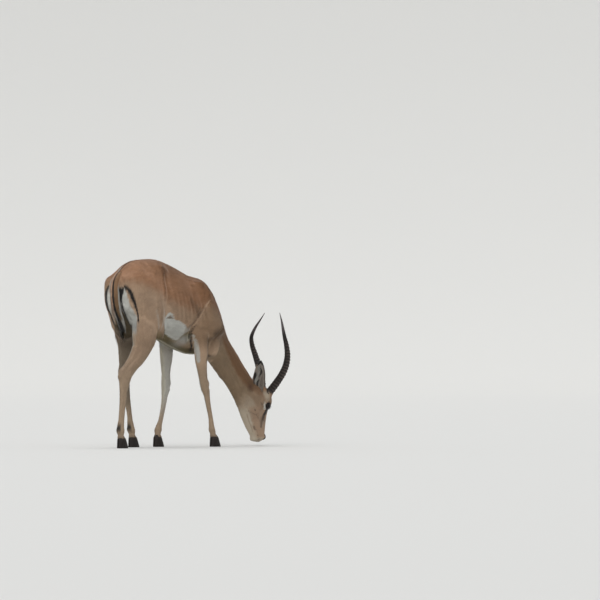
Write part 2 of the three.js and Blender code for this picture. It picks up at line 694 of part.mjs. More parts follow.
// A flat tapered lock from root to tip, bent by its fall.
function lock(root, direction, across, length, width, thick) {
  const rows = 3;
  const rings = [];
  for (let i = 0; i < rows; i += 1) {
    const share = i / rows;
    const size = mix(1, 0.45, share);
    const centre = root.clone().addScaledVector(direction, length * share);
    centre.z -= length * 0.16 * share * share;
    const face = direction.clone().cross(across).normalize();
    rings.push([0, 1, 2, 3].map((k) => centre.clone()
      .addScaledVector(across, [1, 0, -1, 0][k] * width * size)
      .addScaledVector(face, [0, 1, 0, -1][k] * thick * size)));
  }
  const tip = root.clone().addScaledVector(direction, length);
  tip.z -= length * 0.16;
  return loft(rings, undefined, tip);
}

function tailSolid() {
  const spine = new THREE.CatmullRomCurve3(TAIL.spine.map((place) => vec(...place)), false, 'centripetal');
  const rows = 12;
  const sides = 10;
  const rings = [];
  for (let i = 0; i <= rows; i += 1) {
    const share = i / rows;
    const centre = spine.getPointAt(share);
    const tangent = spine.getTangentAt(share);
    const across = vec(0, 1, 0);
    const out = tangent.clone().cross(across).normalize();
    const half = TAIL.half * mix(1.15, 0.5, ramp(share, 0.45, 1)) * mix(1.1, 1, ramp(share, 0, 0.25));
    rings.push(Array.from({ length: sides }, (_, j) => {
      const angle = j / sides * 2 * Math.PI;
      return centre.clone()
        .addScaledVector(across, half * Math.cos(angle))
        .addScaledVector(out, half * 0.62 * Math.sin(angle));
    }));
  }
  let shape = loft(rings);
  for (let i = 0; i < TAIL.locks; i += 1) {
    const share = mix(0.3, 0.97, i / (TAIL.locks - 1));
    const side = i % 2 ? 1 : -1;
    const centre = spine.getPointAt(share);
    const tangent = spine.getTangentAt(share);
    const spread = draw(0.08, 0.28) * side * (i % 6 < 4 ? 1 : 0.2);
    const direction = tangent.clone().add(vec(-0.04, spread, 0)).normalize();
    const across = vec(0, 1, 0).projectOnPlane(direction).normalize();
    const root = centre.clone().add(vec(0, side * TAIL.half * 0.3, 0)).addScaledVector(tangent, -8);
    const length = TAIL.lockLength * draw(0.75, 1) * mix(0.72, 1.1, share);
    shape = shape.add(lock(root, direction, across, length, 11, 2.8));
  }
  return shape;
}

// ---- the parts ------------------------------------------------------------------------------

const body = bodySolid();
const grownBody = bodySolid(GAP + 0.15);
const ahead = (place, shift) => beyond(bodyPlane(place).top, bodyPlane(place).low, shift);
const afterNeck = ahead(NECK_STARTS);

const parts = {};
parts.neck = body.intersect(ahead(NECK_STARTS, GAP)).subtract(ahead(HEAD_STARTS));

let head = body.intersect(ahead(HEAD_STARTS, GAP));
for (const side of [-1, 1]) {
  head = head.add(lidSolid(side));
}
for (const side of [-1, 1]) {
  head = head.subtract(lidOpening(side)).subtract(ball(eyeCentre(side), EYE.radius + GAP, 8, 14));
  const mouth = [26.8, 26.2, 25.4, 24.6, 23.8].map((place, i) => onBody(place, -0.3 - 0.02 * i, side, 0.4));
  head = head.subtract(tube(mouth, [1.2, 2.1, 2.3, 2.2, 1.8, 1.2], 6));
  const nostril = [26.5, 26.1, 25.7].map((place, i) => onBody(place, 0.55 + 0.16 * i, side, 0.8));
  head = head.subtract(tube(nostril, [2.2, 4.2, 3.4, 1.6], 7));
}
parts.head = head;

// Above its first cut a leg takes its share of the body's side, below it the leg stands alone.
const trunk = body.subtract(afterNeck);
let torso = trunk;
for (const [name, leg] of Object.entries(LEGS)) {
  const [kind] = name.split('_');
  const side = Math.sign(leg.y);
  const region = kind === 'foreleg' ? SHOULDER : HAUNCH;
  const [high, low] = leg.cuts;
  const [upper, middle, lower] = LEG_NODES[kind];
  const limb = legSolid(leg);
  const free = limb.subtract(grownBody);
  torso = torso.subtract(parting(region, side, high, GAP));
  parts[`${name}_${upper}`] = trunk.add(limb).intersect(parting(region, side, high, 0));
  parts[`${name}_${middle}`] = between(free, low + GAP / 2, high - GAP);
  parts[`${name}_${lower}`] = between(limb, 0, low - GAP / 2);
  parts[`${name}_claw_inner`] = clawSolid(leg.toe, leg.y, -side);
  parts[`${name}_claw_outer`] = clawSolid(leg.toe, leg.y, side);
}
parts.torso = torso;
parts.tail = tailSolid().subtract(grownBody);
for (const [word, side] of [['right', -1], ['left', 1]]) {
  parts[`horn_${word}`] = hornSolid(side).subtract(grownBody);
  parts[`ear_${word}`] = earSolid(side).subtract(grownBody);
  parts[`eye_${word}`] = ball(eyeCentre(side), EYE.radius, 8, 14);
}

// ---- the turned neck, the meshes and the group ----------------------------------------------

// Forward of TURN_FROM the body's middle line bends to the right, up to TURN at TURN_TO.
function turned(point) {
  const span = TURN_TO - TURN_FROM;
  const into = THREE.MathUtils.clamp(point.x - TURN_FROM, 0, span);
  const angle = TURN * into / span;
  const past = Math.max(point.x - TURN_TO, 0);
  const radius = span / TURN;
  const start = Math.min(point.x, TURN_FROM);
  return vec(
    start + radius * Math.sin(angle) + past * Math.cos(angle) + point.y * Math.sin(angle),
    radius * (Math.cos(angle) - 1) - past * Math.sin(angle) + point.y * Math.cos(angle),
    point.z,
  );
}

function look(name) {
  const finishes = [
    [/horn/, COLOURS.horn, 0.45], [/claw/, COLOURS.hoof, 0.5], [/eye/, COLOURS.eye, 0.08],
    [/ear/, COLOURS.ear, 0.9], [/tail/, COLOURS.tail, 0.9], [/head/, COLOURS.face, 0.85],
    [/neck/, COLOURS.neck, 0.85], [/torso|thigh|shoulder/, COLOURS.back, 0.85], [/./, COLOURS.leg, 0.85],
  ];
  const [, color, roughness] = finishes.find(([words]) => words.test(name));
  return new THREE.MeshStandardMaterial({ color, roughness, metalness: 0 });
}

const impala = new THREE.Group();
for (const [name, shape] of Object.entries(parts)) {
  const { vertProperties, triVerts, numProp } = largest(shape).getMesh();
  const place = new Float32Array(vertProperties.length / numProp * 3);
  for (let i = 0; i < place.length / 3; i += 1) {
    const k = i * numProp;
    turned(vec(vertProperties[k], vertProperties[k + 1], vertProperties[k + 2])).toArray(place, i * 3);
  }
  const geometry = new THREE.BufferGeometry();
  geometry.setAttribute('position', new THREE.BufferAttribute(place, 3));
  geometry.setIndex(Array.from(triVerts));
  geometry.computeVertexNormals();
  const mesh = new THREE.Mesh(geometry, look(name));
  mesh.name = name;
  impala.add(mesh);
}
const box = new THREE.Box3().setFromObject(impala);
impala.position.set(-(box.min.x + box.max.x) / 2, -(box.min.y + box.max.y) / 2, 0);

export default impala;
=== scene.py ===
"""A grazing impala ram: one skin with its coat, and ears, eyes, horns, hooves and tail, on fixed solids."""

import math

import bmesh
import bpy
import numpy as np
from bpy.props import FloatProperty, FloatVectorProperty, IntProperty, PointerProperty
from bpy.types import Operator, Panel, PropertyGroup
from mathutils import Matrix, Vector


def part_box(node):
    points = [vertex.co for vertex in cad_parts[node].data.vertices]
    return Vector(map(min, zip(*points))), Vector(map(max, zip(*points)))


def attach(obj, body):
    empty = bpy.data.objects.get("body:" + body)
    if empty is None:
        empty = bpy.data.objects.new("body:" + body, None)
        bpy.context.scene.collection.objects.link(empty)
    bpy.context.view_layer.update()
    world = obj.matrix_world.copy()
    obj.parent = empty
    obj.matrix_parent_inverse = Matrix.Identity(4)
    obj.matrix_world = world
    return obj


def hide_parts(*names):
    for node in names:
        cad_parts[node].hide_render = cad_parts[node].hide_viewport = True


bl_info = {
    "name": "Impala ram",
    "version": (1, 0, 0),
    "blender": (4, 5, 0),
    "location": "View3D > Sidebar > Impala",
    "description": "Skin, coat, horns, eyes, hooves, ears, tail and stage of a grazing impala ram",
    "category": "Object",
}

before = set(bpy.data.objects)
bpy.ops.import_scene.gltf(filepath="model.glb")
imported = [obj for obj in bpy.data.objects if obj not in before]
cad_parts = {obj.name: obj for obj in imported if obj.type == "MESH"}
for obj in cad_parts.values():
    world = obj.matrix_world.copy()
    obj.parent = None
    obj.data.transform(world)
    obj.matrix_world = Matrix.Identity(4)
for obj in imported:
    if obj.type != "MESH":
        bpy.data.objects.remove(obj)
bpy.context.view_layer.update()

# ---- the straight animal ----------------------------------------------------------------------
# Places are given on the animal with its neck straight: x forward from the root of the tail,
# y to its left and z up from the floor, in metres. The bend then turns the head to the right.

TURN = math.radians(9)
TURN_FROM = 0.745
TURN_TO = 0.850
BEND_RADIUS = (TURN_TO - TURN_FROM) / TURN

# The solids say where the straight animal's origin lies: its right hind toe ends 1 mm ahead of
# it, and the outer walls of the two hind feet are alike to either side.
TOE_AHEAD = 0.00102
TAIL_ROOT = Vector((
    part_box("hindleg_right_claw_outer")[1].x - TOE_AHEAD,
    (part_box("hindleg_right_claw_outer")[0].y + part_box("hindleg_left_claw_outer")[1].y) / 2,
    0,
))


def turn_at(x):
    """How far the neck has turned at x on the straight animal."""
    return TURN * np.clip((x - TURN_FROM) / (TURN_TO - TURN_FROM), 0, 1)


def to_row(points):
    """Places on the straight animal as places in the row frame."""
    x, y, z = points.T
    angle = turn_at(x)
    past = np.maximum(x - TURN_TO, 0)
    start = np.minimum(x, TURN_FROM)
    return np.stack([
        start + (BEND_RADIUS + y) * np.sin(angle) + past * np.cos(angle) + TAIL_ROOT.x,
        (BEND_RADIUS + y) * np.cos(angle) - BEND_RADIUS - past * np.sin(angle) + TAIL_ROOT.y,
        z,
    ], 1)


def to_straight(points):
    """Places in the row frame as places on the straight animal."""
    x = points[:, 0] - TAIL_ROOT.x - TURN_FROM
    y = points[:, 1] - TAIL_ROOT.y + BEND_RADIUS
    angle = np.clip(np.arctan2(x, y), 0, TURN)
    along = x * np.cos(angle) - y * np.sin(angle)
    across = x * np.sin(angle) + y * np.cos(angle)
    before = x < 0
    straight_x = np.where(before, x, BEND_RADIUS * angle + np.where(angle >= TURN, along, 0))
    straight_y = np.where(before, y, across) - BEND_RADIUS
    return np.stack([straight_x + TURN_FROM, straight_y, points[:, 2]], 1)


def turned(directions, x):
    """Directions at x on the straight animal, in the row frame."""
    angle = turn_at(x)
    return np.stack([
        directions[:, 0] * np.cos(angle) + directions[:, 1] * np.sin(angle),
        directions[:, 1] * np.cos(angle) - directions[:, 0] * np.sin(angle),
        directions[:, 2],
    ], 1)


# ---- helpers ----------------------------------------------------------------------------------

RNG_SEED = 11
PATH_STEPS = 24  # straight pieces between two given points of a smooth path
TINY = 1e-12


def unit(vectors):
    """Vectors made one long."""
    length = np.linalg.norm(vectors, axis=-1, keepdims=True)
    return vectors / np.maximum(length, TINY)


def ramp(low, high, value):
    """0 below low, 1 above high and smooth between; low may be the larger."""
    share = np.clip((value - low) / (high - low), 0, 1)
    return share * share * (3 - 2 * share)


def mix(a, b, share):
    """From a to b. A share for each point spreads over its colour or direction."""
    share = np.asarray(share)
    if np.ndim(b) and share.ndim and np.shape(b)[-1:] != share.shape[-1:]:
        share = share[..., None]
    elif np.ndim(a) > share.ndim and share.ndim:
        share = share[..., None]
    return a + (b - a) * share


def linear(red, green, blue):
    """A colour as it is seen, 0 to 1, in Blender's linear numbers."""
    return tuple(
        c / 12.92 if c <= 0.04045 else ((c + 0.055) / 1.055) ** 2.4 for c in (red, green, blue)
    )


def smooth_path(points, count):
    """count points at even steps along a smooth curve through the given ones."""
    knots = np.array(points, float)
    ends = [2 * knots[0] - knots[1], *knots, 2 * knots[-1] - knots[-2]]
    fine = []
    for a, b, c, d in zip(ends, ends[1:], ends[2:], ends[3:]):
        t0 = 0.0
        t1 = math.sqrt(np.linalg.norm(b - a))
        t2 = t1 + math.sqrt(np.linalg.norm(c - b))
        t3 = t2 + math.sqrt(np.linalg.norm(d - c))
        t = np.linspace(t1, t2, PATH_STEPS, endpoint=False)[:, None]
        ab = (t1 - t) / (t1 - t0) * a + (t - t0) / (t1 - t0) * b
        bc = (t2 - t) / (t2 - t1) * b + (t - t1) / (t2 - t1) * c
        cd = (t3 - t) / (t3 - t2) * c + (t - t2) / (t3 - t2) * d
        abc = (t2 - t) / (t2 - t0) * ab + (t - t0) / (t2 - t0) * bc
        bcd = (t3 - t) / (t3 - t1) * bc + (t - t1) / (t3 - t1) * cd
        fine.append((t2 - t) / (t2 - t1) * abc + (t - t1) / (t2 - t1) * bcd)
    fine = np.concatenate([*fine, knots[-1:]])
    run = np.concatenate([[0], np.cumsum(np.linalg.norm(np.diff(fine, axis=0), axis=1))])
    steps = np.linspace(0, run[-1], count)
    return np.stack([np.interp(steps, run, fine[:, k]) for k in range(fine.shape[1])], 1)


def distance_to_path(points, path):
    """Each point's distance from a path of straight pieces, and how far along it that is, 0 to 1."""
    path = np.array(path, float)
    best = np.full(len(points), np.inf)
    place = np.zeros(len(points))
    steps = len(path) - 1
    for i in range(steps):
        a, run = path[i], path[i + 1] - path[i]
        share = np.clip((points - a) @ run / max(run @ run, TINY), 0, 1)
        away = np.linalg.norm(points - a - share[:, None] * run, axis=1)
        nearer = away < best
        best[nearer] = away[nearer]
        place[nearer] = (i + share[nearer]) / steps
    return best, place


def swell(distance, half):
    """1 at no distance, falling off smoothly to almost 0 at twice half."""
    return np.exp(-(distance / half) ** 2)


def full_turn(count):
    """Angles at even steps once round."""
    return np.arange(count) / count * 2 * math.pi


def mottle(points, size, seed=0):
    """A smooth random value from -1 to 1 at each point, changing over about size metres. The whole
    numbers in it only scatter the cells' values."""
    grid = points / size + seed * 17.3
    low = np.floor(grid).astype(np.int64)
    share = grid - low
    share = share * share * (3 - 2 * share)
    total = np.zeros(len(points))
    for corner in np.ndindex(2, 2, 2):
        cell = low + corner
        code = cell[:, 0] * 374761393 + cell[:, 1] * 668265263 + cell[:, 2] * 2147483647 + seed * 1013
        code = (code ^ (code >> 13)) * 1274126177
        value = ((code ^ (code >> 16)) & 0xFFFF) / 32767.5 - 1
        weight = np.prod(np.where(corner, share, 1 - share), axis=1)
        total += value * weight
    return total


def new_mesh(name, points, faces):
    """A mesh from an array of points and one of equally long faces, with nothing loose."""
    mesh = bpy.data.meshes.new(name)
    faces = np.asarray(faces, np.int32)
    mesh.vertices.add(len(points))
    mesh.vertices.foreach_set("co", np.asarray(points, np.float32).ravel())
    mesh.loops.add(faces.size)
    mesh.loops.foreach_set("vertex_index", faces.ravel())
    mesh.polygons.add(len(faces))
    mesh.polygons.foreach_set("loop_start", np.arange(0, faces.size, faces.shape[1], dtype=np.int32))
    mesh.update(calc_edges=True)
    mesh.polygons.foreach_set("use_smooth", np.ones(len(faces), bool))
    return mesh


def paint(mesh, colours):
    """Gives each vertex its colour, under the name that the materials read."""
    layer = mesh.color_attributes.new("Coat", "FLOAT_COLOR", "POINT")
    rgba = np.ones((len(mesh.vertices), 4), np.float32)
    rgba[:, :3] = np.clip(colours, 0, 1)
    layer.data.foreach_set("color", rgba.ravel())


def value_layer(mesh, name, values):
    """Gives each vertex a value."""
    layer = mesh.attributes.new(name, "FLOAT", "POINT")
    layer.data.foreach_set("value", np.asarray(values, np.float32))


def piece(name, mesh, material, nodes=()):
    """Puts a mesh in the scene as a piece of the animal, in place of the solids it stands for."""
    built = bpy.data.objects.new(name, mesh)
    bpy.context.scene.collection.objects.link(built)
    mesh.materials.append(material)
    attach(built, "root")
    if nodes:
        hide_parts(*nodes)
    return built


def grid_faces(rows, sides, start=0):
    """Quads between rings of points, closed round the rings."""
    i, j = np.meshgrid(np.arange(rows - 1), np.arange(sides), indexing="ij")
    a = start + i * sides + j
    b = start + i * sides + (j + 1) % sides
    return np.stack([a, b, b + sides, a + sides], -1).reshape(-1, 4)


def cap_faces(first, sides, pole, outward):
    """Triangles from a ring to a pole."""
    j = np.arange(sides)
    a, b = first + j, first + (j + 1) % sides
    tip = np.full(sides, pole)
    return np.stack([a, b, tip] if outward else [b, a, tip], 1)


def loft_mesh(name, rings, colours=None):
    """A closed skin over rings of equally many points, from the first ring's middle to the last's."""
    rows, sides = rings.shape[:2]
    points = np.concatenate([rings.reshape(-1, 3), rings[:1].mean(1), rings[-1:].mean(1)])
    mesh = bpy.data.meshes.new(name)
    quads = grid_faces(rows, sides)
    caps = np.concatenate([
        cap_faces(0, sides, rows * sides, False),
        cap_faces((rows - 1) * sides, sides, rows * sides + 1, True),
    ])
    mesh.from_pydata(points.tolist(), [], quads.tolist() + caps.tolist())
    mesh.polygons.foreach_set("use_smooth", np.ones(len(mesh.polygons), bool))
    if colours is not None:
        ends = np.stack([colours[0].mean(0), colours[-1].mean(0)])
        paint(mesh, np.concatenate([colours.reshape(-1, 3), ends]))
    return mesh


def to_row_rings(rings):
    """Rings of places on the straight animal, in the row frame."""
    return to_row(rings.reshape(-1, 3)).reshape(rings.shape)


def facing_out(mesh):
    """Turns a closed mesh's faces outwards."""
    work = bmesh.new()
    work.from_mesh(mesh)
    bmesh.ops.recalc_face_normals(work, faces=work.faces)
    work.to_mesh(mesh)
    work.free()
    return mesh


# ---- what a user may change -------------------------------------------------------------------


def colour_property(name, description, *seen):
    """A colour, given as it is seen."""
    return FloatVectorProperty(
        name=name, description=description, subtype="COLOR", size=3, min=0, max=1, default=linear(*seen)
    )


def length_property(name, description, default):
    """A length in metres."""
    return FloatProperty(
        name=name, description=description, unit="LENGTH", subtype="DISTANCE", min=0, default=default
    )


def angle_property(name, description, degrees):
    """An angle, given in degrees."""
    return FloatProperty(name=name, description=description, subtype="ANGLE", default=math.radians(degrees))


def strength_property(name, description, default):
    """A plain number that can't be negative."""
    return FloatProperty(name=name, description=description, min=0, default=default)


class ImpalaColours(PropertyGroup):
    """The colours of the coat and of what it leaves bare."""

    saddle: colour_property("Saddle", "Back and upper sides", 0.60, 0.44, 0.32)
    flank: colour_property("Flank", "Lower sides and thighs", 0.635, 0.53, 0.435)
    white: colour_property("White", "Belly, buttocks and inner legs", 0.78, 0.775, 0.745)
    stripe: colour_property("Stripe", "Stripes of the buttocks and the tail", 0.07, 0.056, 0.050)
    spine: colour_property("Spine", "Line down the middle of the rump", 0.27, 0.165, 0.10)
    neck: colour_property("Neck", "Upper side of the neck", 0.455, 0.33, 0.22)
    throat: colour_property("Throat", "Lower side of the neck", 0.52, 0.435, 0.340)
    face: colour_property("Face", "Cheeks and sides of the muzzle", 0.605, 0.505, 0.415)
    forehead: colour_property("Forehead", "Brow and bridge of the nose", 0.47, 0.385, 0.315)
    jaw: colour_property("Jaw", "Underside of the jaw, lips and chin", 0.70, 0.65, 0.575)
    leg: colour_property("Leg", "Lower legs", 0.65, 0.56, 0.465)
    bare: colour_property("Bare skin", "Nose, lids and lips", 0.075, 0.06, 0.055)
    ear: colour_property("Ear", "Hair inside the ears", 0.54, 0.505, 0.47)
    ear_skin: colour_property("Ear skin", "Skin inside the ears", 0.34, 0.28, 0.25)
    horn: colour_property("Horn", "Grooves of the horns", 0.10, 0.082, 0.072)
    horn_worn: colour_property("Worn horn", "Crests of the rings", 0.40, 0.345, 0.325)
    iris: colour_property("Iris", "Ring of the eye", 0.085, 0.055, 0.040)
    hoof: colour_property("Hoof", "Claws", 0.15, 0.125, 0.11)


class ImpalaSizes(PropertyGroup):
    """Sizes of the coat and the finer forms."""

    voxel: length_property("Skin cell", "Cell of the skin's first mesh", 0.005)
    coat: length_property("Coat depth", "How far the skin of the trunk lies under the solids", 0.0045)
    tuft: length_property("Tuft length", "Length of the tufts on the trunk", 0.017)
    tuft_width: length_property("Tuft width", "Width of the tufts on the trunk", 0.0017)
    cover: strength_property("Cover", "Layers of tufts over the skin", 1.7)
    eye: length_property("Eye", "Radius of the eyeball", 0.0183)
    horn: length_property("Horn", "Radius of a horn at its base", 0.0187)
    rings: IntProperty(name="Rings", description="Rings on each horn", min=1, default=22)


class ImpalaStage(PropertyGroup):
    """Camera, floor and light."""

    distance: length_property("Distance", "From the camera to the animal", 28.0)
    across: length_property("Across", "Width that the picture takes in at the animal", 3.0)
    azimuth: angle_property("Azimuth", "Side from which it is seen", -45)
    elevation: angle_property("Elevation", "Height of the view", 1)
    floor: colour_property("Floor", "Floor and backdrop", 0.86, 0.855, 0.84)
    sky: strength_property("Sky", "Strength of the light all round", 0.60)
    above: strength_property("Above", "Strength of the soft light from above", 1.05)
    front: strength_property("Front", "Strength of the light on the seen side", 0.85)


def picked(colours, *names):
    """The colours of those names, as arrays."""
    return [np.array(getattr(colours, name)) for name in names]


# ---- where things are on the body -------------------------------------------------------------

# Middle line of trunk, neck and head, from the rump to the lips.
AXIS = np.array([
    (0.000, 0, 0.790), (0.050, 0, 0.790), (0.120, 0, 0.785), (0.197, 0, 0.788), (0.300, 0, 0.750),
    (0.422, 0, 0.688), (0.520, 0, 0.660), (0.595, 0, 0.645), (0.645, 0, 0.620), (0.680, 0, 0.580),
    (0.741, 0, 0.515), (0.814, 0, 0.415), (0.886, 0, 0.325), (0.930, 0, 0.288), (0.962, 0, 0.258),
    (0.986, 0, 0.215), (0.993, 0, 0.172), (0.995, 0, 0.134), (0.998, 0, 0.105), (1.002, 0, 0.078),
    (1.006, 0, 0.050), (1.009, 0, 0.018),
])
AXIS_RUN = np.concatenate([[0], np.cumsum(np.linalg.norm(np.diff(AXIS, axis=0), axis=1))])
AXIS_LENGTH = AXIS_RUN[-1]
NECK_FROM, HEAD_FROM = 0.80, 1.22  # metres along that line
HEADING_REACH = 0.03  # metres to either side over which the line's heading is taken

# Legs: side, and middle line from the belly to the hoof as (height, x).
LEG_LINES = {
    "foreleg_right": (-1, [(0.575, 0.540), (0.430, 0.532), (0.318, 0.556), (0.205, 0.586), (0.088, 0.611),
                           (0.047, 0.627)]),
    "foreleg_left": (1, [(0.575, 0.478), (0.430, 0.462), (0.322, 0.461), (0.200, 0.441), (0.088, 0.405),
                         (0.047, 0.404)]),
    "hindleg_right": (-1, [(0.565, 0.124), (0.455, 0.080), (0.390, 0.014), (0.322, -0.017),
                           (0.215, -0.030), (0.092, -0.045), (0.047, -0.037)]),
    "hindleg_left": (1, [(0.565, 0.183), (0.455, 0.183), (0.390, 0.168), (0.322, 0.167), (0.215, 0.189),
                         (0.092, 0.210), (0.047, 0.223)]),
}
LEG_Y = 0.090  # from the animal's middle to a leg's
HOOF_TOP = 0.047
SIDES = (("right", -1), ("left", 1))
LEG_PIECES = {"foreleg": ("shoulder", "forearm", "cannon"), "hindleg": ("thigh", "gaskin", "cannon")}
FLESH = ["torso", "neck", "head"] + [
    f"{leg}_{part}" for leg in LEG_LINES for part in LEG_PIECES[leg.split("_")[0]]
]


def axis_place(at):
    """How far along the body's middle line each point lies, in metres."""
    _, place = distance_to_path(at * (1, 0, 1), AXIS)
    return np.interp(place * (len(AXIS) - 1), np.arange(len(AXIS)), AXIS_RUN)


def axis_at(run):
    """The middle line's place and heading there."""
    place, ahead, behind = (
        np.stack([np.interp(run + reach, AXIS_RUN, AXIS[:, k]) for k in range(3)], 1)
        for reach in (0, HEADING_REACH, -HEADING_REACH)
    )
    return place, unit(ahead - behind)


def axis_rise(at, run):
    """How far above the middle line each point lies, square to it."""
    place, ahead = axis_at(run)
    upward = np.stack([-ahead[:, 2], np.zeros(len(at)), ahead[:, 0]], 1)
    return ((at - place) * upward).sum(1)


def leg_middle(line, z):
    """Where a leg's middle line stands at each height."""
    heights, xs = np.array(line)[::-1].T
    return np.interp(z, heights, xs)


def mirrored(at):
    """The same places with both sides of the body on the positive side."""
    return np.stack([at[:, 0], np.abs(at[:, 1]), at[:, 2]], 1)


def leg_share(at):
    """1 on the free legs, 0 on the trunk, neck and head."""
    below = ramp(0.56, 0.47, at[:, 2]) * (at[:, 0] < 0.69)
    outside = np.maximum(ramp(0.035, 0.060, np.abs(at[:, 1])), ramp(0.445, 0.425, at[:, 2]))
    return below * outside


def head_share(at):
    """1 on the head, 0 behind it."""
    return ramp(HEAD_FROM - 0.02, HEAD_FROM + 0.05, axis_place(at)) * (at[:, 0] > 0.8)


# ---- skin -------------------------------------------------------------------------------------

# Swellings and hollows that the muscles, bones and veins raise: place, sizes, tilt in degrees of the
# long axis forward, and lift. Both sides of the animal have them.
SKIN_FORMS = [
    ("point of the hip", (0.262, 0.082, 0.905), (0.024, 0.030, 0.020), 0, 0.007),
    ("hollow ahead of the hip", (0.318, 0.100, 0.845), (0.040, 0.060, 0.055), 10, -0.009),
    ("hollow above the thigh", (0.170, 0.090, 0.885), (0.050, 0.040, 0.020), 0, -0.003),
    ("thigh bone's end", (0.105, 0.110, 0.800), (0.030, 0.040, 0.030), 0, 0.004),
    ("point of the rump", (0.020, 0.055, 0.825), (0.018, 0.020, 0.022), 0, 0.003),
    ("front of the thigh", (0.222, 0.105, 0.690), (0.026, 0.050, 0.090), -6, 0.006),
    ("stifle", (0.236, 0.105, 0.585), (0.026, 0.040, 0.030), 0, 0.006),
    ("flank", (0.300, 0.105, 0.690), (0.034, 0.060, 0.075), -20, -0.007),
    ("shoulder blade", (0.590, 0.090, 0.760), (0.020, 0.040, 0.070), -14, 0.004),
    ("behind the blade", (0.520, 0.100, 0.770), (0.030, 0.050, 0.060), -14, -0.005),
    ("upper arm", (0.560, 0.115, 0.625), (0.052, 0.050, 0.040), 0, 0.005),
    ("point of the shoulder", (0.690, 0.080, 0.590), (0.022, 0.030, 0.026), 0, 0.005),
    ("breast", (0.676, 0.030, 0.490), (0.026, 0.022, 0.040), 25, 0.005),
    ("gullet", (0.800, 0.020, 0.372), (0.018, 0.016, 0.090), 42, 0.003),
    ("cheek muscle", (0.955, 0.048, 0.205), (0.026, 0.020, 0.034), 6, 0.0030),
    ("below the ear", (0.955, 0.045, 0.258), (0.016, 0.020, 0.016), 0, -0.003),
    ("round the horn", (1.052, 0.043, 0.287), (0.022, 0.022, 0.013), 0, -0.007),
    ("forehead", (1.078, 0.0, 0.266), (0.012, 0.022, 0.030), 0, 0.003),
    ("bridge of the nose", (1.066, 0.0, 0.160), (0.012, 0.010, 0.050), 4, 0.0015),
    ("beside the bridge", (1.060, 0.045, 0.166), (0.016, 0.016, 0.022), 6, -0.002),
    ("hollow of the muzzle", (1.010, 0.034, 0.112), (0.022, 0.020, 0.028), 0, -0.0035),
    ("upper lip", (1.018, 0.026, 0.042), (0.014, 0.018, 0.012), 0, 0.0026),
    ("chin", (0.980, 0.012, 0.034), (0.010, 0.014, 0.012), 0, 0.0020),
    ("nostril wing", (1.037, 0.022, 0.045), (0.008, 0.008, 0.009), 0, 0.0022),
]

# Folds: places on one side, half width, and lift. A fold dug in has a low ridge beside it.
SKIN_FOLDS = [
    ("ahead of the hip", [(0.250, 0.070, 0.925), (0.284, 0.080, 0.895), (0.290, 0.095, 0.830),
                          (0.286, 0.108, 0.758), (0.272, 0.110, 0.690)], 0.010, -0.0065),
    ("hip's edge", [(0.234, 0.070, 0.925), (0.265, 0.080, 0.893), (0.270, 0.095, 0.828),
                    (0.265, 0.108, 0.758)], 0.009, 0.0040),
    ("groove of the buttock", [(0.075, 0.095, 0.830), (0.095, 0.105, 0.740), (0.110, 0.112, 0.640)],
     0.014, -0.0030),
    ("behind the shoulder", [(0.545, 0.110, 0.718), (0.500, 0.112, 0.668), (0.474, 0.113, 0.638),
                             (0.452, 0.104, 0.600), (0.450, 0.090, 0.560), (0.474, 0.070, 0.525)],
     0.009, -0.0090),
    ("shoulder's edge", [(0.565, 0.110, 0.722), (0.524, 0.112, 0.676), (0.496, 0.114, 0.640),
                         (0.474, 0.108, 0.602)], 0.008, 0.0045),
    ("side ahead of it", [(0.520, 0.110, 0.712), (0.468, 0.112, 0.650), (0.428, 0.104, 0.605),
                          (0.420, 0.088, 0.566)], 0.008, 0.0030),
    ("ahead of the shoulder", [(0.700, 0.075, 0.660), (0.684, 0.100, 0.605), (0.650, 0.100, 0.560),
                               (0.630, 0.070, 0.520), (0.628, 0.055, 0.490)], 0.009, -0.0070),
    ("neck muscle", [(0.700, 0.070, 0.585), (0.780, 0.055, 0.480), (0.870, 0.047, 0.360),
                     (0.930, 0.045, 0.290)], 0.012, 0.0025),
    ("jugular", [(0.680, 0.060, 0.520), (0.765, 0.045, 0.425), (0.850, 0.038, 0.325),
                 (0.890, 0.034, 0.275)], 0.009, -0.0040),
    ("edge of the jaw", [(0.900, 0.040, 0.235), (0.915, 0.036, 0.185), (0.935, 0.028, 0.140),
                         (0.958, 0.022, 0.085)], 0.007, 0.0016),
    ("vein of the face", [(0.995, 0.046, 0.175), (0.990, 0.038, 0.145), (1.000, 0.033, 0.120)],
     0.0035, 0.0012),
    ("crest of the face", [(1.022, 0.050, 0.172), (1.008, 0.040, 0.148), (0.994, 0.037, 0.126)],
     0.0060, 0.0016),
    ("tear line", [(1.042, 0.046, 0.184), (1.036, 0.039, 0.172), (1.026, 0.033, 0.157),
                   (1.020, 0.031, 0.136)], 0.0035, -0.0018),
]
RIBS = {"count": 8, "first": 0.335, "step": 0.0285, "top": 0.835, "low": 0.605, "lean": 0.030,
        "half": 0.0085, "lift": 0.0011}
RIB_STRETCH = np.array([1, 0.3, 1])  # distance across the body counts little, as ribs curve with it
MOUTH = [(1.010, 0.000, 0.017), (1.007, 0.012, 0.021), (1.004, 0.019, 0.030), (1.000, 0.024, 0.038),
         (0.995, 0.027, 0.049), (0.989, 0.027, 0.062), (0.982, 0.027, 0.079), (0.978, 0.027, 0.089)]
NOSTRIL = [(1.033, 0.0185, 0.034), (1.039, 0.023, 0.041), (1.0415, 0.0235, 0.048), (1.038, 0.0265, 0.055)]

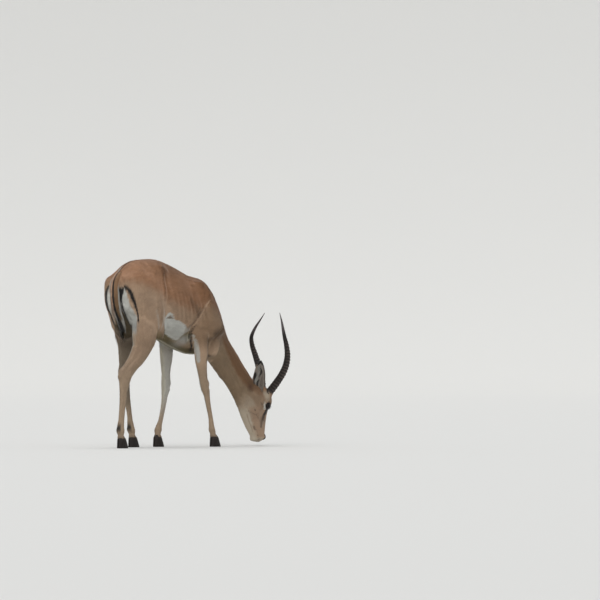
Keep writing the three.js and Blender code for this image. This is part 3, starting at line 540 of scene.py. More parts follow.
MOUTH_PATH, NOSTRIL_PATH = smooth_path(MOUTH, 20), smooth_path(NOSTRIL, 20)
EYE_AT = (1.037, 0.0405, 0.205)
LID_LONG, LID_SHORT = 0.0160, 0.0148  # half the opening, up the head and across it
LID_THICK = 0.0022
LID_EDGE = 1.13  # where the lid has its full thickness, as a share of the opening
EYE_SINK = 0.0030  # from the eyeball's surface in to the skin behind it
GROW = 0.0006  # by which each solid grows, so that neighbours run into one another


def flesh_mesh():
    """The flesh solids as one mesh, each grown a little."""
    work = bmesh.new()
    for name in FLESH + ["eye_left", "eye_right"]:
        work.from_mesh(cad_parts[name].data)
    bmesh.ops.remove_doubles(work, verts=work.verts, dist=1e-5)
    bmesh.ops.recalc_face_normals(work, faces=work.faces)
    work.normal_update()
    for vertex in work.verts:
        vertex.co += vertex.normal * GROW
    mesh = bpy.data.meshes.new("flesh")
    work.to_mesh(mesh)
    work.free()
    return mesh


def remeshed(mesh, size):
    """One closed skin round everything in a mesh."""
    holder = bpy.data.objects.new("flesh", mesh)
    bpy.context.scene.collection.objects.link(holder)
    change = holder.modifiers.new("one skin", "REMESH")
    change.mode = "VOXEL"
    change.voxel_size = size
    change.adaptivity = 0
    shown = holder.evaluated_get(bpy.context.evaluated_depsgraph_get())
    result = bpy.data.meshes.new_from_object(shown)
    bpy.data.objects.remove(holder)
    bpy.data.meshes.remove(mesh)
    return result


def points_of(mesh):
    """The places of a mesh's vertices."""
    found = np.empty(len(mesh.vertices) * 3, np.float32)
    mesh.vertices.foreach_get("co", found)
    return found.reshape(-1, 3).astype(float)


def set_points(mesh, points):
    """Moves a mesh's vertices."""
    mesh.vertices.foreach_set("co", points.astype(np.float32).ravel())
    mesh.update()


def corners_of(parts, corners):
    """The vertices of a mesh's edges or triangles."""
    found = np.empty(len(parts) * corners, np.int32)
    parts.foreach_get("vertices", found)
    return found.reshape(-1, corners)


def triangles_of(mesh):
    """The vertices of a mesh's triangles."""
    mesh.calc_loop_triangles()
    return corners_of(mesh.loop_triangles, 3)


def normals_of(points, triangles):
    """Each vertex's outward direction."""
    a, b, c = (points[triangles[:, k]] for k in range(3))
    face = np.cross(b - a, c - a)
    corner = triangles.T.ravel()
    return unit(np.stack([
        np.bincount(corner, np.tile(face[:, k], 3), len(points)) for k in range(3)
    ], 1))


EVEN_PULLS = (0.55, -0.57)  # towards the neighbours' middle, then away again


def relaxed(points, edges, weight, rounds):
    """Points evened out over the mesh without shrinking it."""
    ends = np.concatenate([edges, edges[:, ::-1]])
    count = np.maximum(np.bincount(ends[:, 0], minlength=len(points)), 1)[:, None]
    for _ in range(rounds):
        for pull in EVEN_PULLS:
            mean = np.stack([
                np.bincount(ends[:, 0], points[ends[:, 1], k], len(points)) for k in range(3)
            ], 1) / count
            points = points + (pull * weight)[:, None] * (mean - points)
    return points


def form_lift(at):
    """How far the muscles and folds lift each point of the skin."""
    folded = mirrored(at)
    lift = np.zeros(len(at))
    for _, place, size, tilt, height in SKIN_FORMS:
        lean = math.radians(tilt)
        away = folded - place
        local = np.stack([
            away[:, 0] * math.cos(lean) - away[:, 2] * math.sin(lean),
            away[:, 1],
            away[:, 0] * math.sin(lean) + away[:, 2] * math.cos(lean),
        ], 1) / size
        lift += height * swell(np.linalg.norm(local, axis=1), 1)
    for _, path, half, height in SKIN_FOLDS:
        away, place = distance_to_path(folded, smooth_path(path, 24))
        ends = ramp(0, 0.15, place) * ramp(1, 0.85, place)
        lift += height * swell(away, half) * ends
    for i in range(RIBS["count"]):
        x = RIBS["first"] + i * RIBS["step"]
        top = (x, 0.095, RIBS["top"] - 0.010 * i)
        low = (x + RIBS["lean"], 0.105, RIBS["low"])
        away, place = distance_to_path(folded * RIB_STRETCH, np.array([top, low]) * RIB_STRETCH)
        side = ramp(0.045, 0.080, folded[:, 1])
        lift += RIBS["lift"] * swell(away, RIBS["half"]) * np.sin(math.pi * place) * side
    return lift


def leg_lift(at):
    """The tendons, hollows and joints of the legs."""
    lift = np.zeros(len(at))
    z = at[:, 2]
    for name, (side, line) in LEG_LINES.items():
        ahead = at[:, 0] - leg_middle(line, z)
        out = at[:, 1] * side - LEG_Y
        on = (np.abs(out) < 0.05) * (np.abs(ahead) < 0.12) * ramp(0.60, 0.52, z)
        forms = {
            "fetlock": 0.0016 * swell(z - 0.088, 0.012),
            "pastern": -0.0020 * swell(z - 0.066, 0.008),
        }
        if name.startswith("hind"):
            hollow = swell(ahead + 0.034 - 0.10 * (z - 0.42), 0.011)
            groove = swell(ahead + 0.006, 0.005)
            forms["ahead of the tendon"] = -0.0030 * hollow * ramp(0.375, 0.41, z) * ramp(0.52, 0.47, z)
            forms["hock"] = 0.0030 * swell(z - 0.352, 0.014) * swell(ahead, 0.012)
            forms["groove of the cannon"] = -0.0024 * groove * ramp(0.12, 0.16, z) * ramp(0.33, 0.29, z)
        else:
            groove = swell(ahead + 0.004, 0.005)
            forms["muscle of the forearm"] = 0.0035 * swell(z - 0.47, 0.045) * ramp(-0.01, 0.02, ahead)
            forms["knee"] = 0.0022 * swell(z - 0.325, 0.012) * ramp(0, 0.015, ahead)
            forms["below the knee"] = -0.0018 * swell(z - 0.300, 0.006) * ramp(0, 0.015, ahead)
            forms["groove of the cannon"] = -0.0022 * groove * ramp(0.12, 0.15, z) * ramp(0.28, 0.25, z)
        lift += on * sum(forms.values())
    return lift


def eye_centre(side):
    """The middle of an eyeball."""
    return np.array(EYE_AT) * (1, side, 1)


def eye_axes(side):
    """Out of the eye, up the head along the lids, and forward across them."""
    look = unit(np.array([0.10, side * 0.95, -0.16]))
    tall = np.array([-0.30, 0.0, 1.0])
    tall = unit(tall - look * (tall @ look))
    wide = np.cross(look, tall) * side
    return look, tall, wide


def almond(angle, grow=0.0):
    """The lids' opening: its reach up the head and across, at an angle round it."""
    across = np.sin(angle)
    return (LID_LONG + grow) * np.cos(angle), (LID_SHORT + grow) * across * np.abs(across) ** 0.3


def fit_lids(points, radius):
    """Draws the skin round the eyeballs: open in the lids, a thin lid round them, then the face."""
    for _, side in SIDES:
        look, tall, wide = eye_axes(side)
        away = points - eye_centre(side)
        u, v, w = away @ wide, away @ tall, away @ look
        share = np.hypot(u / LID_SHORT, v / LID_LONG)
        near = (share < 2.4) & (w > -0.004)
        from_middle = np.minimum(np.hypot(u, v), radius * 0.98)
        inside = np.sqrt(radius ** 2 - from_middle ** 2) - EYE_SINK
        lid_radius = radius + LID_THICK
        lid = np.sqrt(np.maximum(lid_radius ** 2 - u ** 2 - v ** 2, 0))
        opening = mix(inside, lid, ramp(1.00, LID_EDGE, share))
        face = np.maximum(lid, np.minimum(w, lid + 0.004))
        target = np.where(share < LID_EDGE, opening, face)
        hold = ramp(2.1, 1.25, share) * near
        points = points + look * (hold * (target - w))[:, None]
    return points


def carve(points, normals):
    """The line of the mouth and the nostrils."""
    folded = mirrored(points)
    mouth, place = distance_to_path(folded, MOUTH_PATH)
    depth = 0.0032 * swell(mouth, 0.0019) * ramp(1.0, 0.85, place)
    lips = 0.0011 * swell(mouth - 0.0045, 0.0024) * ramp(1.0, 0.85, place)
    nostril, _ = distance_to_path(folded, NOSTRIL_PATH)
    hole = 0.0065 * swell(nostril, 0.0026)
    wing = 0.0012 * swell(nostril - 0.0058, 0.0026)
    parting = 0.0020 * swell(points[:, 1], 0.0012) * ramp(0.040, 0.025, points[:, 2])
    parting = parting * (points[:, 0] > 1.000)
    return points + normals * (lips + wing - depth - hole - parting)[:, None]


# Depth of the coat on legs, head and feet, as shares of the trunk's.
COAT_DEPTH = {"leg": 0.5, "head": 0.40, "foot": 0.25}


def skin_depth(at, coat):
    """How far the skin lies under the tips of the coat."""
    legs, head = leg_share(at), head_share(at)
    depth = mix(coat, coat * COAT_DEPTH["leg"], legs)
    depth = mix(depth, coat * COAT_DEPTH["head"], head)
    return mix(depth, coat * COAT_DEPTH["foot"], ramp(0.12, 0.05, at[:, 2]) * (head < 0.5))


def fine_head(mesh):
    """Splits the skin's faces on the head into nine each."""
    work = bmesh.new()
    work.from_mesh(mesh)
    at = to_straight(np.array([edge.verts[0].co for edge in work.edges]))
    other = to_straight(np.array([edge.verts[1].co for edge in work.edges]))
    chosen = [
        edge for edge, a, b in zip(list(work.edges), on_face(at), on_face(other)) if a and b
    ]
    bmesh.ops.subdivide_edges(work, edges=chosen, cuts=2, use_grid_fill=True)
    bmesh.ops.triangulate(work, faces=[face for face in work.faces if len(face.verts) > 4])
    work.to_mesh(mesh)
    work.free()


def on_face(at):
    """The part of the head that carries the finer forms."""
    return (at[:, 0] > 0.90) & (at[:, 2] < 0.318) & (axis_place(at) > HEAD_FROM + 0.015)


def bare_share(at):
    """1 where the skin is bare: nose, lips, nostrils and the inner edge of the lids."""
    folded = mirrored(at)
    mouth, place = distance_to_path(folded, MOUTH_PATH)
    nostril, _ = distance_to_path(folded, NOSTRIL_PATH)
    lips = 0.75 * ramp(0.0030, 0.0012, mouth) * ramp(1.0, 0.9, place)
    bare = np.maximum(lips, ramp(0.0075, 0.0045, nostril))
    pad = ramp(0.016, 0.011, folded[:, 1]) * ramp(0.045, 0.039, at[:, 2]) * ramp(1.020, 1.028, at[:, 0])
    bare = np.maximum(bare, pad)
    lids = np.zeros(len(at))
    for _, side in SIDES:
        look, tall, wide = eye_axes(side)
        away = at - eye_centre(side)
        share = np.hypot(away @ wide / LID_SHORT, away @ tall / LID_LONG)
        lids = np.maximum(lids, ramp(1.38, 1.22, share) * (away @ look > 0.004))
    return np.maximum(bare, lids)


def build_skin(context):
    """The one skin over all the flesh: closed, evened out, sunk by the coat's depth, then formed."""
    colours, sizes = context.scene.impala_colours, context.scene.impala_sizes
    mesh = remeshed(flesh_mesh(), sizes.voxel)
    at = to_straight(points_of(mesh))
    edges = corners_of(mesh.edges, 2)
    legs, head = leg_share(at), head_share(at)
    at = relaxed(at, edges, 1 - 0.55 * np.maximum(legs, head), 26)
    normals = normals_of(at, triangles_of(mesh))
    at = at - normals * (skin_depth(at, sizes.coat) + GROW)[:, None]
    set_points(mesh, to_row(at))
    fine_head(mesh)

    at = to_straight(points_of(mesh))
    edges, triangles = corners_of(mesh.edges, 2), triangles_of(mesh)
    at = relaxed(at, edges, on_face(at) * 1.0, 8)
    normals = normals_of(at, triangles)
    at = at + normals * (form_lift(at) + leg_lift(at))[:, None]
    at = relaxed(at, edges, np.full(len(at), 0.6), 1)
    at = carve(at, normals_of(at, triangles))
    at = fit_lids(at, sizes.eye)
    set_points(mesh, to_row(at))

    normals = normals_of(at, triangles)
    paint(mesh, coat_colour(at, normals, colours, skin_depth(at, sizes.coat)))
    value_layer(mesh, "bare", bare_share(at))
    mesh.polygons.foreach_set("use_smooth", np.ones(len(mesh.polygons), bool))
    return piece("skin", mesh, material_of("Coat"), FLESH)


# ---- markings ---------------------------------------------------------------------------------

# Lines on the side of the body as (x, height): where the saddle meets the flank, and the upper and the
# lower edge of the belly's white.
SADDLE_EDGE = [(-0.02, 0.840), (0.05, 0.842), (0.10, 0.830), (0.20, 0.790), (0.28, 0.752), (0.36, 0.722),
               (0.46, 0.700), (0.54, 0.715), (0.60, 0.740), (0.66, 0.690), (0.70, 0.64)]
BELLY_TOP = [(0.262, 0.575), (0.268, 0.636), (0.274, 0.652), (0.295, 0.673), (0.309, 0.676), (0.330, 0.670),
             (0.338, 0.642), (0.376, 0.633), (0.412, 0.614), (0.428, 0.599), (0.437, 0.560)]
BELLY_LOW = [(0.262, 0.622), (0.268, 0.614), (0.291, 0.594), (0.312, 0.570), (0.351, 0.550), (0.390, 0.538),
             (0.402, 0.560), (0.440, 0.585)]
# Painted light and shade along the trunk, lighter at the rump and darker towards the shoulder, as (x,
# tone).
TRUNK_PAINTED_LIGHT = [(0.10, 1.20), (0.25, 1.15), (0.34, 0.96), (0.48, 0.88), (0.60, 0.78)]
# Between the tail and the right buttock's white: dark bare skin and painted shadow of the tail, in black;
# half width at each height.
DARK_SKIN_AND_SHADOW_HALF = [(0.735, 0.045), (0.750, 0.052), (0.768, 0.060), (0.786, 0.066), (0.806, 0.071)]
# The white of the buttocks lies behind and inside these lines, on the right and on the left.
WHITE_EDGE = {
    -1: [(0.000, 0.070, 0.806), (0.009, 0.081, 0.779), (0.013, 0.084, 0.756), (0.021, 0.089, 0.722),
         (0.040, 0.093, 0.690), (0.056, 0.102, 0.660), (0.060, 0.106, 0.635), (0.062, 0.106, 0.600)],
    1: [(-0.006, 0.033, 0.808), (-0.006, 0.045, 0.804), (-0.005, 0.053, 0.795), (0.000, 0.065, 0.773),
        (0.010, 0.076, 0.748), (0.016, 0.075, 0.719), (0.018, 0.064, 0.694), (0.034, 0.064, 0.663),
        (0.056, 0.062, 0.618)],
}
# Factors by which a colour is multiplied: warmer over the forehand; painted shade on the hind legs' inner
# sides and between the thighs; painted shade with a painted olive reflection under the belly.
FOREHAND_SHADE = np.array([1.0, 0.93, 0.82])
INNER_SHADE = (0.46, 0.52, 0.56)  # painted shade on the hind legs' inner sides
CROTCH_SHADE = (0.20, 0.21, 0.14)
BELLY_SHADE_AND_REFLECTION = (0.44, 0.50, 0.34)
CREAM, LEG_CREAM = (1.0, 0.95, 0.86), (1.0, 0.96, 0.86)  # white hair at the edges of the legs
MIDLINE_CREAM = (0.85, 0.80, 0.66)
# A painted highlight: the rim light along the line between the tail and the left half of the rump.
RUMP_LEFT_HIGHLIGHT = [(0.060, 0.009, 0.905), (0.020, 0.011, 0.870), (0.000, 0.018, 0.845), (-0.006, 0.026, 0.815)]

# Strokes on the coat: side (-1 right, 1 left, 0 both), places as on the left, half widths, colour and
# its tone, and strength.
STROKES = [
    # painted shade on the front of the right forearm, and the rear edge of the right thigh
    (-1, [(0.575, 0.105, 0.500), (0.572, 0.105, 0.465), (0.560, 0.100, 0.430)],
     [0.0040, 0.0065, 0.0040], "leg", 0.50, 0.7),
    (-1, [(0.095, 0.058, 0.570), (0.065, 0.056, 0.503), (0.030, 0.056, 0.459), (-0.020, 0.057, 0.396)],
     [0.0035, 0.0045, 0.0045, 0.0030], "white", 0.95, 0.8),
    # black bars of the buttocks
    (-1, [(0.004, 0.074, 0.812), (0.017, 0.090, 0.793), (0.030, 0.099, 0.768), (0.042, 0.103, 0.733),
          (0.052, 0.106, 0.706), (0.060, 0.106, 0.681), (0.064, 0.108, 0.655), (0.066, 0.109, 0.636)],
     [0.0085, 0.0100, 0.0096, 0.0082, 0.0062, 0.0050, 0.0042, 0.0030], "stripe", 1.0, 1.0),
    # painted shadow in the crease between the right buttock and the inner thigh, below the tail
    (-1, [(0.005, 0.045, 0.732), (0.019, 0.037, 0.699), (0.036, 0.034, 0.669), (0.055, 0.035, 0.637),
          (0.069, 0.044, 0.607)], [0.0040, 0.0032, 0.0030, 0.0030, 0.0022], "stripe", 1.4, 0.9),
    (1, [(-0.006, 0.036, 0.811), (-0.006, 0.045, 0.800), (-0.005, 0.055, 0.785), (0.002, 0.064, 0.762),
         (0.010, 0.070, 0.740), (0.015, 0.070, 0.715), (0.018, 0.062, 0.690), (0.034, 0.061, 0.660),
         (0.056, 0.060, 0.618)], [0.0050, 0.0070, 0.0070, 0.0062, 0.0055, 0.0048, 0.0042, 0.0038, 0.0030],
     "stripe", 1.2, 0.95),
    # painted highlight between the tail and the left half of the rump
    (1, RUMP_LEFT_HIGHLIGHT, [0.0035, 0.0040, 0.0040, 0.0030], "white", 0.95, 0.55),
    # painted highlights along the flank fold and the front of the thigh
    (0, [(0.276, 0.085, 0.700), (0.260, 0.100, 0.645), (0.230, 0.106, 0.592)], [0.004, 0.0035, 0.002],
     "white", 0.95, 0.5),
    (0, [(0.196, 0.112, 0.690), (0.208, 0.114, 0.645), (0.217, 0.108, 0.598)], [0.003, 0.004, 0.002],
     "white", 0.85, 0.4),
    # belly: the dark core of the curled tuft, a painted highlight along the lower edge of the belly's
    # white, and painted shadow down the fold behind the shoulder into the pit of the arm
    (0, [(0.288, 0.098, 0.650), (0.312, 0.100, 0.655), (0.326, 0.101, 0.648)], [0.0035, 0.0085, 0.003],
     "flank", 0.40, 0.85),
    (0, [(0.310, 0.063, 0.570), (0.351, 0.063, 0.554), (0.386, 0.064, 0.541), (0.398, 0.080, 0.557)],
     [0.0020, 0.0040, 0.0040, 0.0020], "white", 1.05, 0.75),
    (0, [(0.476, 0.106, 0.610), (0.462, 0.098, 0.578), (0.468, 0.084, 0.547), (0.480, 0.072, 0.525),
         (0.533, 0.024, 0.475)], [0.0020, 0.0044, 0.0044, 0.0042, 0.0030], "stripe", 1.3, 0.95),
    # shoulder: painted highlights along the shoulder's edge and the edge of the side ahead of it, painted
    # shade in the groove between them, and the dark behind the blade
    (0, [(0.585, 0.108, 0.742), (0.549, 0.110, 0.708), (0.487, 0.113, 0.637), (0.463, 0.105, 0.606)],
     [0.002, 0.0040, 0.0045, 0.003], "flank", 1.45, 0.8),
    (0, [(0.535, 0.112, 0.705), (0.480, 0.113, 0.645), (0.452, 0.105, 0.610)], [0.003, 0.0040, 0.003],
     "flank", 0.45, 0.7),
    (0, [(0.469, 0.112, 0.650), (0.427, 0.104, 0.605), (0.421, 0.088, 0.564)], [0.003, 0.004, 0.002],
     "flank", 1.2, 0.6),
    (0, [(0.450, 0.105, 0.750), (0.468, 0.107, 0.725), (0.490, 0.110, 0.690), (0.497, 0.112, 0.665)],
     [0.008, 0.013, 0.013, 0.006], "neck", 0.62, 0.5),
    # foreleg: a pale strip down its rear side
    (0, [(0.478, 0.094, 0.560), (0.490, 0.094, 0.535), (0.4955, 0.097, 0.490), (0.503, 0.099, 0.439)],
     [0.006, 0.0130, 0.0145, 0.011], "white", 0.90, 0.85),
    # head: tear line, the band below it, spots and the dark behind the corner of the mouth
    (0, [(1.044, 0.044, 0.186), (1.032, 0.037, 0.168), (1.026, 0.033, 0.155), (1.015, 0.032, 0.130)],
     [0.0066, 0.0058, 0.0052, 0.0030], "bare", 1.1, 0.95),
    (0, [(1.024, 0.033, 0.150), (1.015, 0.032, 0.120), (1.009, 0.030, 0.096)], [0.006, 0.0100, 0.004],
     "forehead", 0.55, 0.80),
    (0, [(1.020, 0.034, 0.122), (1.016, 0.031, 0.100)], [0.0022, 0.0016], "jaw", 1.05, 0.5),
    (0, [(0.9985, 0.054, 0.211), (0.9990, 0.054, 0.2105)], [0.0040, 0.0040], "bare", 1.2, 0.85),
    (0, [(0.957, 0.049, 0.181), (0.9575, 0.049, 0.1805)], [0.0034, 0.0034], "bare", 1.2, 0.82),
    (0, [(0.991, 0.026, 0.053), (0.9915, 0.026, 0.0525)], [0.0020, 0.0020], "bare", 1.4, 0.7),
    (0, [(1.000, 0.020, 0.032), (1.0005, 0.020, 0.0315)], [0.0018, 0.0018], "bare", 1.4, 0.6),
    (0, [(0.966, 0.027, 0.096), (0.969, 0.027, 0.088), (0.974, 0.027, 0.080)], [0.0045, 0.0040, 0.002],
     "forehead", 0.55, 0.7),
    (0, [(0.920, 0.039, 0.176), (0.943, 0.044, 0.166), (0.964, 0.046, 0.159), (0.982, 0.048, 0.168)],
     [0.0020, 0.0024, 0.0024, 0.0016], "forehead", 0.7, 0.5),
    (0, [(0.964, 0.046, 0.159), (0.978, 0.042, 0.147), (0.987, 0.037, 0.135)], [0.0022, 0.0022, 0.0014],
     "forehead", 0.75, 0.4),
    (0, [(0.916, 0.030, 0.160), (0.930, 0.027, 0.128), (0.948, 0.024, 0.098), (0.962, 0.022, 0.070)],
     [0.0022, 0.0026, 0.0026, 0.0016], "forehead", 0.8, 0.4),
    (0, [(0.926, 0.034, 0.165), (0.940, 0.030, 0.132), (0.955, 0.027, 0.106)], [0.0022, 0.0026, 0.0018],
     "white", 0.9, 0.2),
    # pale hair between ear and horn and before the horn, dark behind the ear
    (0, [(1.024, 0.043, 0.296), (1.025, 0.046, 0.272)], [0.0050, 0.0050], "saddle", 1.3, 0.6),
    (0, [(1.030, 0.050, 0.264), (1.036, 0.054, 0.240)], [0.0130, 0.0110], "jaw", 1.00, 0.75),
    (0, [(0.933, 0.043, 0.300), (0.935, 0.044, 0.286)], [0.0100, 0.0120], "spine", 1.0, 0.6),
]


STROKE_REACH = 0.02  # metres round a stroke in which it can show
SLANT_SHARE = 0.8  # share of the depth along the slant that is left out
SHARP_EDGE, SOFT_EDGE = 0.25, 0.8  # width of a stroke's blurred edge, as a share of its half width


def along(line, value):
    """A line of (place, height) pairs read off at each place."""
    return np.interp(value, *np.array(line).T)


def side_colour(at, colours, ragged):
    """Saddle over flank, streaked, with painted light and shade along the trunk and painted shade on the
    breast.
    """
    x, _, z = mirrored(at).T
    saddle, flank = picked(colours, "saddle", "flank")
    edge = along(SADDLE_EDGE, x) + 0.010 * ragged
    colour = mix(flank, saddle, ramp(edge - 0.045, edge + 0.035, z))
    streaks = mottle(at * (0.45, 1, 1.3), 0.016, 5) + 0.6 * mottle(at * (0.6, 1, 1), 0.045, 12)
    # painted light and shade along the trunk, with random streaks of tone
    colour = colour * (along(TRUNK_PAINTED_LIGHT, x) * (1 + 0.085 * streaks * ramp(0.62, 0.72, z)))[:, None]
    colour = colour * mix(np.ones(3), FOREHAND_SHADE, ramp(0.30, 0.60, x))
    top_of_back = ramp(0.84, 0.90, z) * ramp(0.12, 0.24, x)
    # painted shade on the breast, between the forelegs and the neck
    breast = ramp(0.595, 0.630, x) * ramp(0.620, 0.570, z)
    return colour * mix(1.0, 0.80, top_of_back)[:, None] * mix(1.0, 0.60, breast)[:, None]


def with_buttocks(colour, at, normals, colours, ragged):
    """The colour with the white of the buttocks, painted darker low down and lighter on the left, its pale
    rim, and the black beside the tail, partly dark bare skin and partly painted shadow.
    """
    x, y, z = mirrored(at).T
    white, stripe = picked(colours, "white", "stripe")
    left = at[:, 1] > 0
    top = ramp(0.812, 0.804, z + 0.003 * ragged)
    rim = rear_rim(normals, at) * ramp(0.640, 0.600, z) * (x < 0.20)
    colour = mix(colour, white * CREAM, rim)
    behind = np.where(at[:, 1] < 0, inside_line(at, -1), inside_line(at, 1))
    # painted shade on the white low down, and painted light on the left buttock's white
    tone = mix(1.0, 0.66, ramp(0.72, 0.67, z)) * np.where(left, 1.2, 1.0)
    colour = mix(colour, white * tone[:, None], behind * top)
    half = along(DARK_SKIN_AND_SHADOW_HALF, z) + 0.0015 * ragged
    # black beside the tail on the right: dark bare skin and painted shadow of the tail
    dark = ramp(half + 0.002, half - 0.002, y) * ramp(0.725, 0.740, z) * top * (x < 0.04) * (at[:, 1] < 0)
    return mix(colour, stripe, dark)


def trunk_colour(at, normals, colours, ragged):
    """Saddle, flank, belly and buttocks, the line down the rump, painted shade on the thighs' inner sides,
    and painted shade between the thighs.
    """
    x, y, z = mirrored(at).T
    flank, spine = picked(colours, "flank", "spine")
    colour = side_colour(at, colours, ragged)
    # painted shade on the thighs' inner sides, and on the left thigh where it faces inward
    inner = ramp(0.060, 0.045, y) * ramp(0.60, 0.57, z) * (x > 0.06) * (x < 0.28)
    left = (at[:, 1] > 0) * ramp(0.635, 0.600, z) * (x < 0.25) * ramp(-0.35, 0.05, -normals[:, 1])
    colour = mix(colour, flank * INNER_SHADE, np.maximum(inner, left))
    colour = mix(colour, belly_colour(x, y, z, colours, ragged), belly_share(x, y, z, normals, ragged))
    line = ramp(0.0075, 0.0035, y) * ramp(0.86, 0.89, z) * ramp(0.40, 0.12, x)
    colour = mix(colour, spine, 0.9 * line)
    colour = with_buttocks(colour, at, normals, colours, ragged)
    # painted shade between the thighs
    crotch = ramp(0.050, 0.036, y) * ramp(0.700, 0.665, z) * ramp(0.02, 0.05, x) * (x < 0.20)
    between = ramp(0.126, 0.118, x + y + 0.002 * ragged) * ramp(0.632, 0.616, z) * (x > 0.02)
    return mix(colour, flank * CROTCH_SHADE, np.maximum(crotch, between))


def rear_rim(normals, at):
    """1 on the edge of the right hind leg that faces back and inward, 0 off it."""
    edge = 0.707 * (normals[:, 1] - normals[:, 0])
    return 0.85 * ramp(0.62, 0.86, edge) * (at[:, 1] < 0)


def belly_share(x, y, z, normals, ragged):
    """1 on the belly and on the white patch of the flank, 0 above it."""
    patch = ramp(-0.004, 0.003, along(BELLY_TOP, x) + 0.003 * ragged - z) * (x > 0.258) * (x < 0.437)
    rear = along(BELLY_LOW, x) - 0.010
    patch = patch * mix(ramp(-0.004, 0.004, z - rear - 0.003 * ragged), 1.0, ramp(0.300, 0.318, x))
    under = ramp(-0.10, -0.50, normals[:, 2]) * ramp(0.62, 0.57, z) * (x > 0.20)
    under = under * np.maximum(ramp(0.47, 0.45, x), ramp(0.075, 0.060, y))
    side = ramp(0.435, 0.445, x) * ramp(0.580, 0.565, z + 0.003 * ragged)
    side = side * np.maximum(ramp(0.478, 0.466, x), ramp(0.078, 0.066, y))
    return np.maximum(patch, np.maximum(under, side)) * ramp(0.640, 0.600, x)


def belly_colour(x, y, z, colours, ragged):
    """White above, painted shade below with a painted olive reflection, a grey patch behind the arm and a
    cream midline.
    """
    white, flank = picked(colours, "white", "flank")
    low = along(BELLY_LOW, x) + 0.003 * ragged
    # painted shade and painted olive reflection below the belly's lower edge
    shade = ramp(0.004, -0.008, z - low)
    colour = mix(white * 0.84, flank * BELLY_SHADE_AND_REFLECTION, shade)
    grey = swell(x - 0.428, 0.036) * swell(z - 0.532, 0.026)
    colour = mix(colour, white * 0.72, np.clip(1.3 * grey, 0, 1))
    return mix(colour, white * MIDLINE_CREAM, 0.8 * ramp(0.016, 0.006, y))


def with_strokes(colour, at, colours, ragged):
    """The colour with the strokes painted over it. Depth along a slant counts little, so that folds
    and swellings don't break them."""
    folded = mirrored(at)
    for side, path, halves, name, tone, strength in STROKES:
        path = np.array(path)
        low, high = path.min(0) - STROKE_REACH, path.max(0) + STROKE_REACH
        near = np.flatnonzero(((folded > low) & (folded < high)).all(1) & (at[:, 1] * side >= 0))
        slant = unit(np.array([1.0, 1.0 if side > 0 else -1.0, 0.0]))
        flat, line = (
            places - SLANT_SHARE * np.outer(places @ slant, slant) for places in (folded[near], path)
        )
        soft = SHARP_EDGE if strength > 0.8 else SOFT_EDGE
        share = strength * marked(flat, line, halves, ragged[near], soft)
        colour[near] = mix(colour[near], picked(colours, name)[0] * tone, share)
    return colour


def marked(folded, line, halves, ragged, soft=SHARP_EDGE):
    """1 on a painted line of changing half width, 0 off it, and soft at its edges."""
    away, place = distance_to_path(folded, smooth_path(line, 24))
    half = np.interp(place, np.linspace(0, 1, len(halves)), halves) * (1 + 0.15 * ragged)
    return ramp(half * (1 + soft) + 0.0006, half * (1 - soft), away)


def inside_line(at, side):
    """1 behind and inside the edge of one buttock's white, 0 outside it."""
    xs, ys, heights = np.array(WHITE_EDGE[side])[::-1].T
    x, y, z = mirrored(at).T
    soft = mix(0.001, 0.006, ramp(0.765, 0.725, z) * (side < 0))
    share = ramp(0.004 + soft, -0.003, x - np.interp(z, heights, xs))
    share = share * ramp(0.001 + soft, -0.002, y - np.interp(z, heights, ys))
    return share * ramp(0.560, 0.600, z)


def leg_colour(at, normals, colours, ragged):
    """Fawn above, grey-tan below, with painted shade on the hind legs' inner sides and the forelegs'
    fronts, and dark at the fetlocks.
    """
    x, y, z = at.T
    side = np.sign(y)
    fore = x > 0.36
    flank, leg, white, stripe = picked(colours, "flank", "leg", "white", "stripe")
    colour = mix(flank, leg, ramp(0.52, 0.30, z))
    colour = colour * (1 + 0.30 * fore * ramp(0.38, 0.44, z))[:, None]
    below_body = ramp(0.10, 0.30, z)
    # inner sides: white on the forelegs, painted shade on the hind legs
    least = np.where(fore | (side < 0), 0.15, -0.45)
    inner = ramp(least, least + 0.40, -normals[:, 1] * side) * below_body
    colour = mix(colour, np.where(fore[:, None], white * 0.9, leg * INNER_SHADE), 0.85 * inner)
    rim = fore * ramp(0.45, 0.85, -normals[:, 0]) * (side > 0)
    rim = np.maximum(rim, (~fore) * rear_rim(normals, at) * ramp(0.34, 0.44, z))
    colour = mix(colour, white * LEG_CREAM, 0.8 * rim * below_body)
    # painted shade on the forelegs' forward-facing sides
    front = fore * ramp(0.35, 0.75, normals[:, 0]) * ramp(0.22, 0.34, z)
    colour = mix(colour, leg * 0.42, 0.75 * front)
    gland = (~fore) * swell(z - 0.102, 0.022) * ramp(0.35, 0.75, -normals[:, 0])
    colour = mix(colour, stripe, 0.95 * gland)
    return mix(colour, colour * 0.62, ramp(0.075, 0.052, z + 0.004 * ragged))


# Where the nape's brown meets the throat's tan: metres along the body's middle line, and above it.
NAPE_EDGE = [(0.82, -0.008), (0.90, -0.006), (1.00, -0.006), (1.10, -0.004), (1.16, 0.010), (1.22, 0.050)]


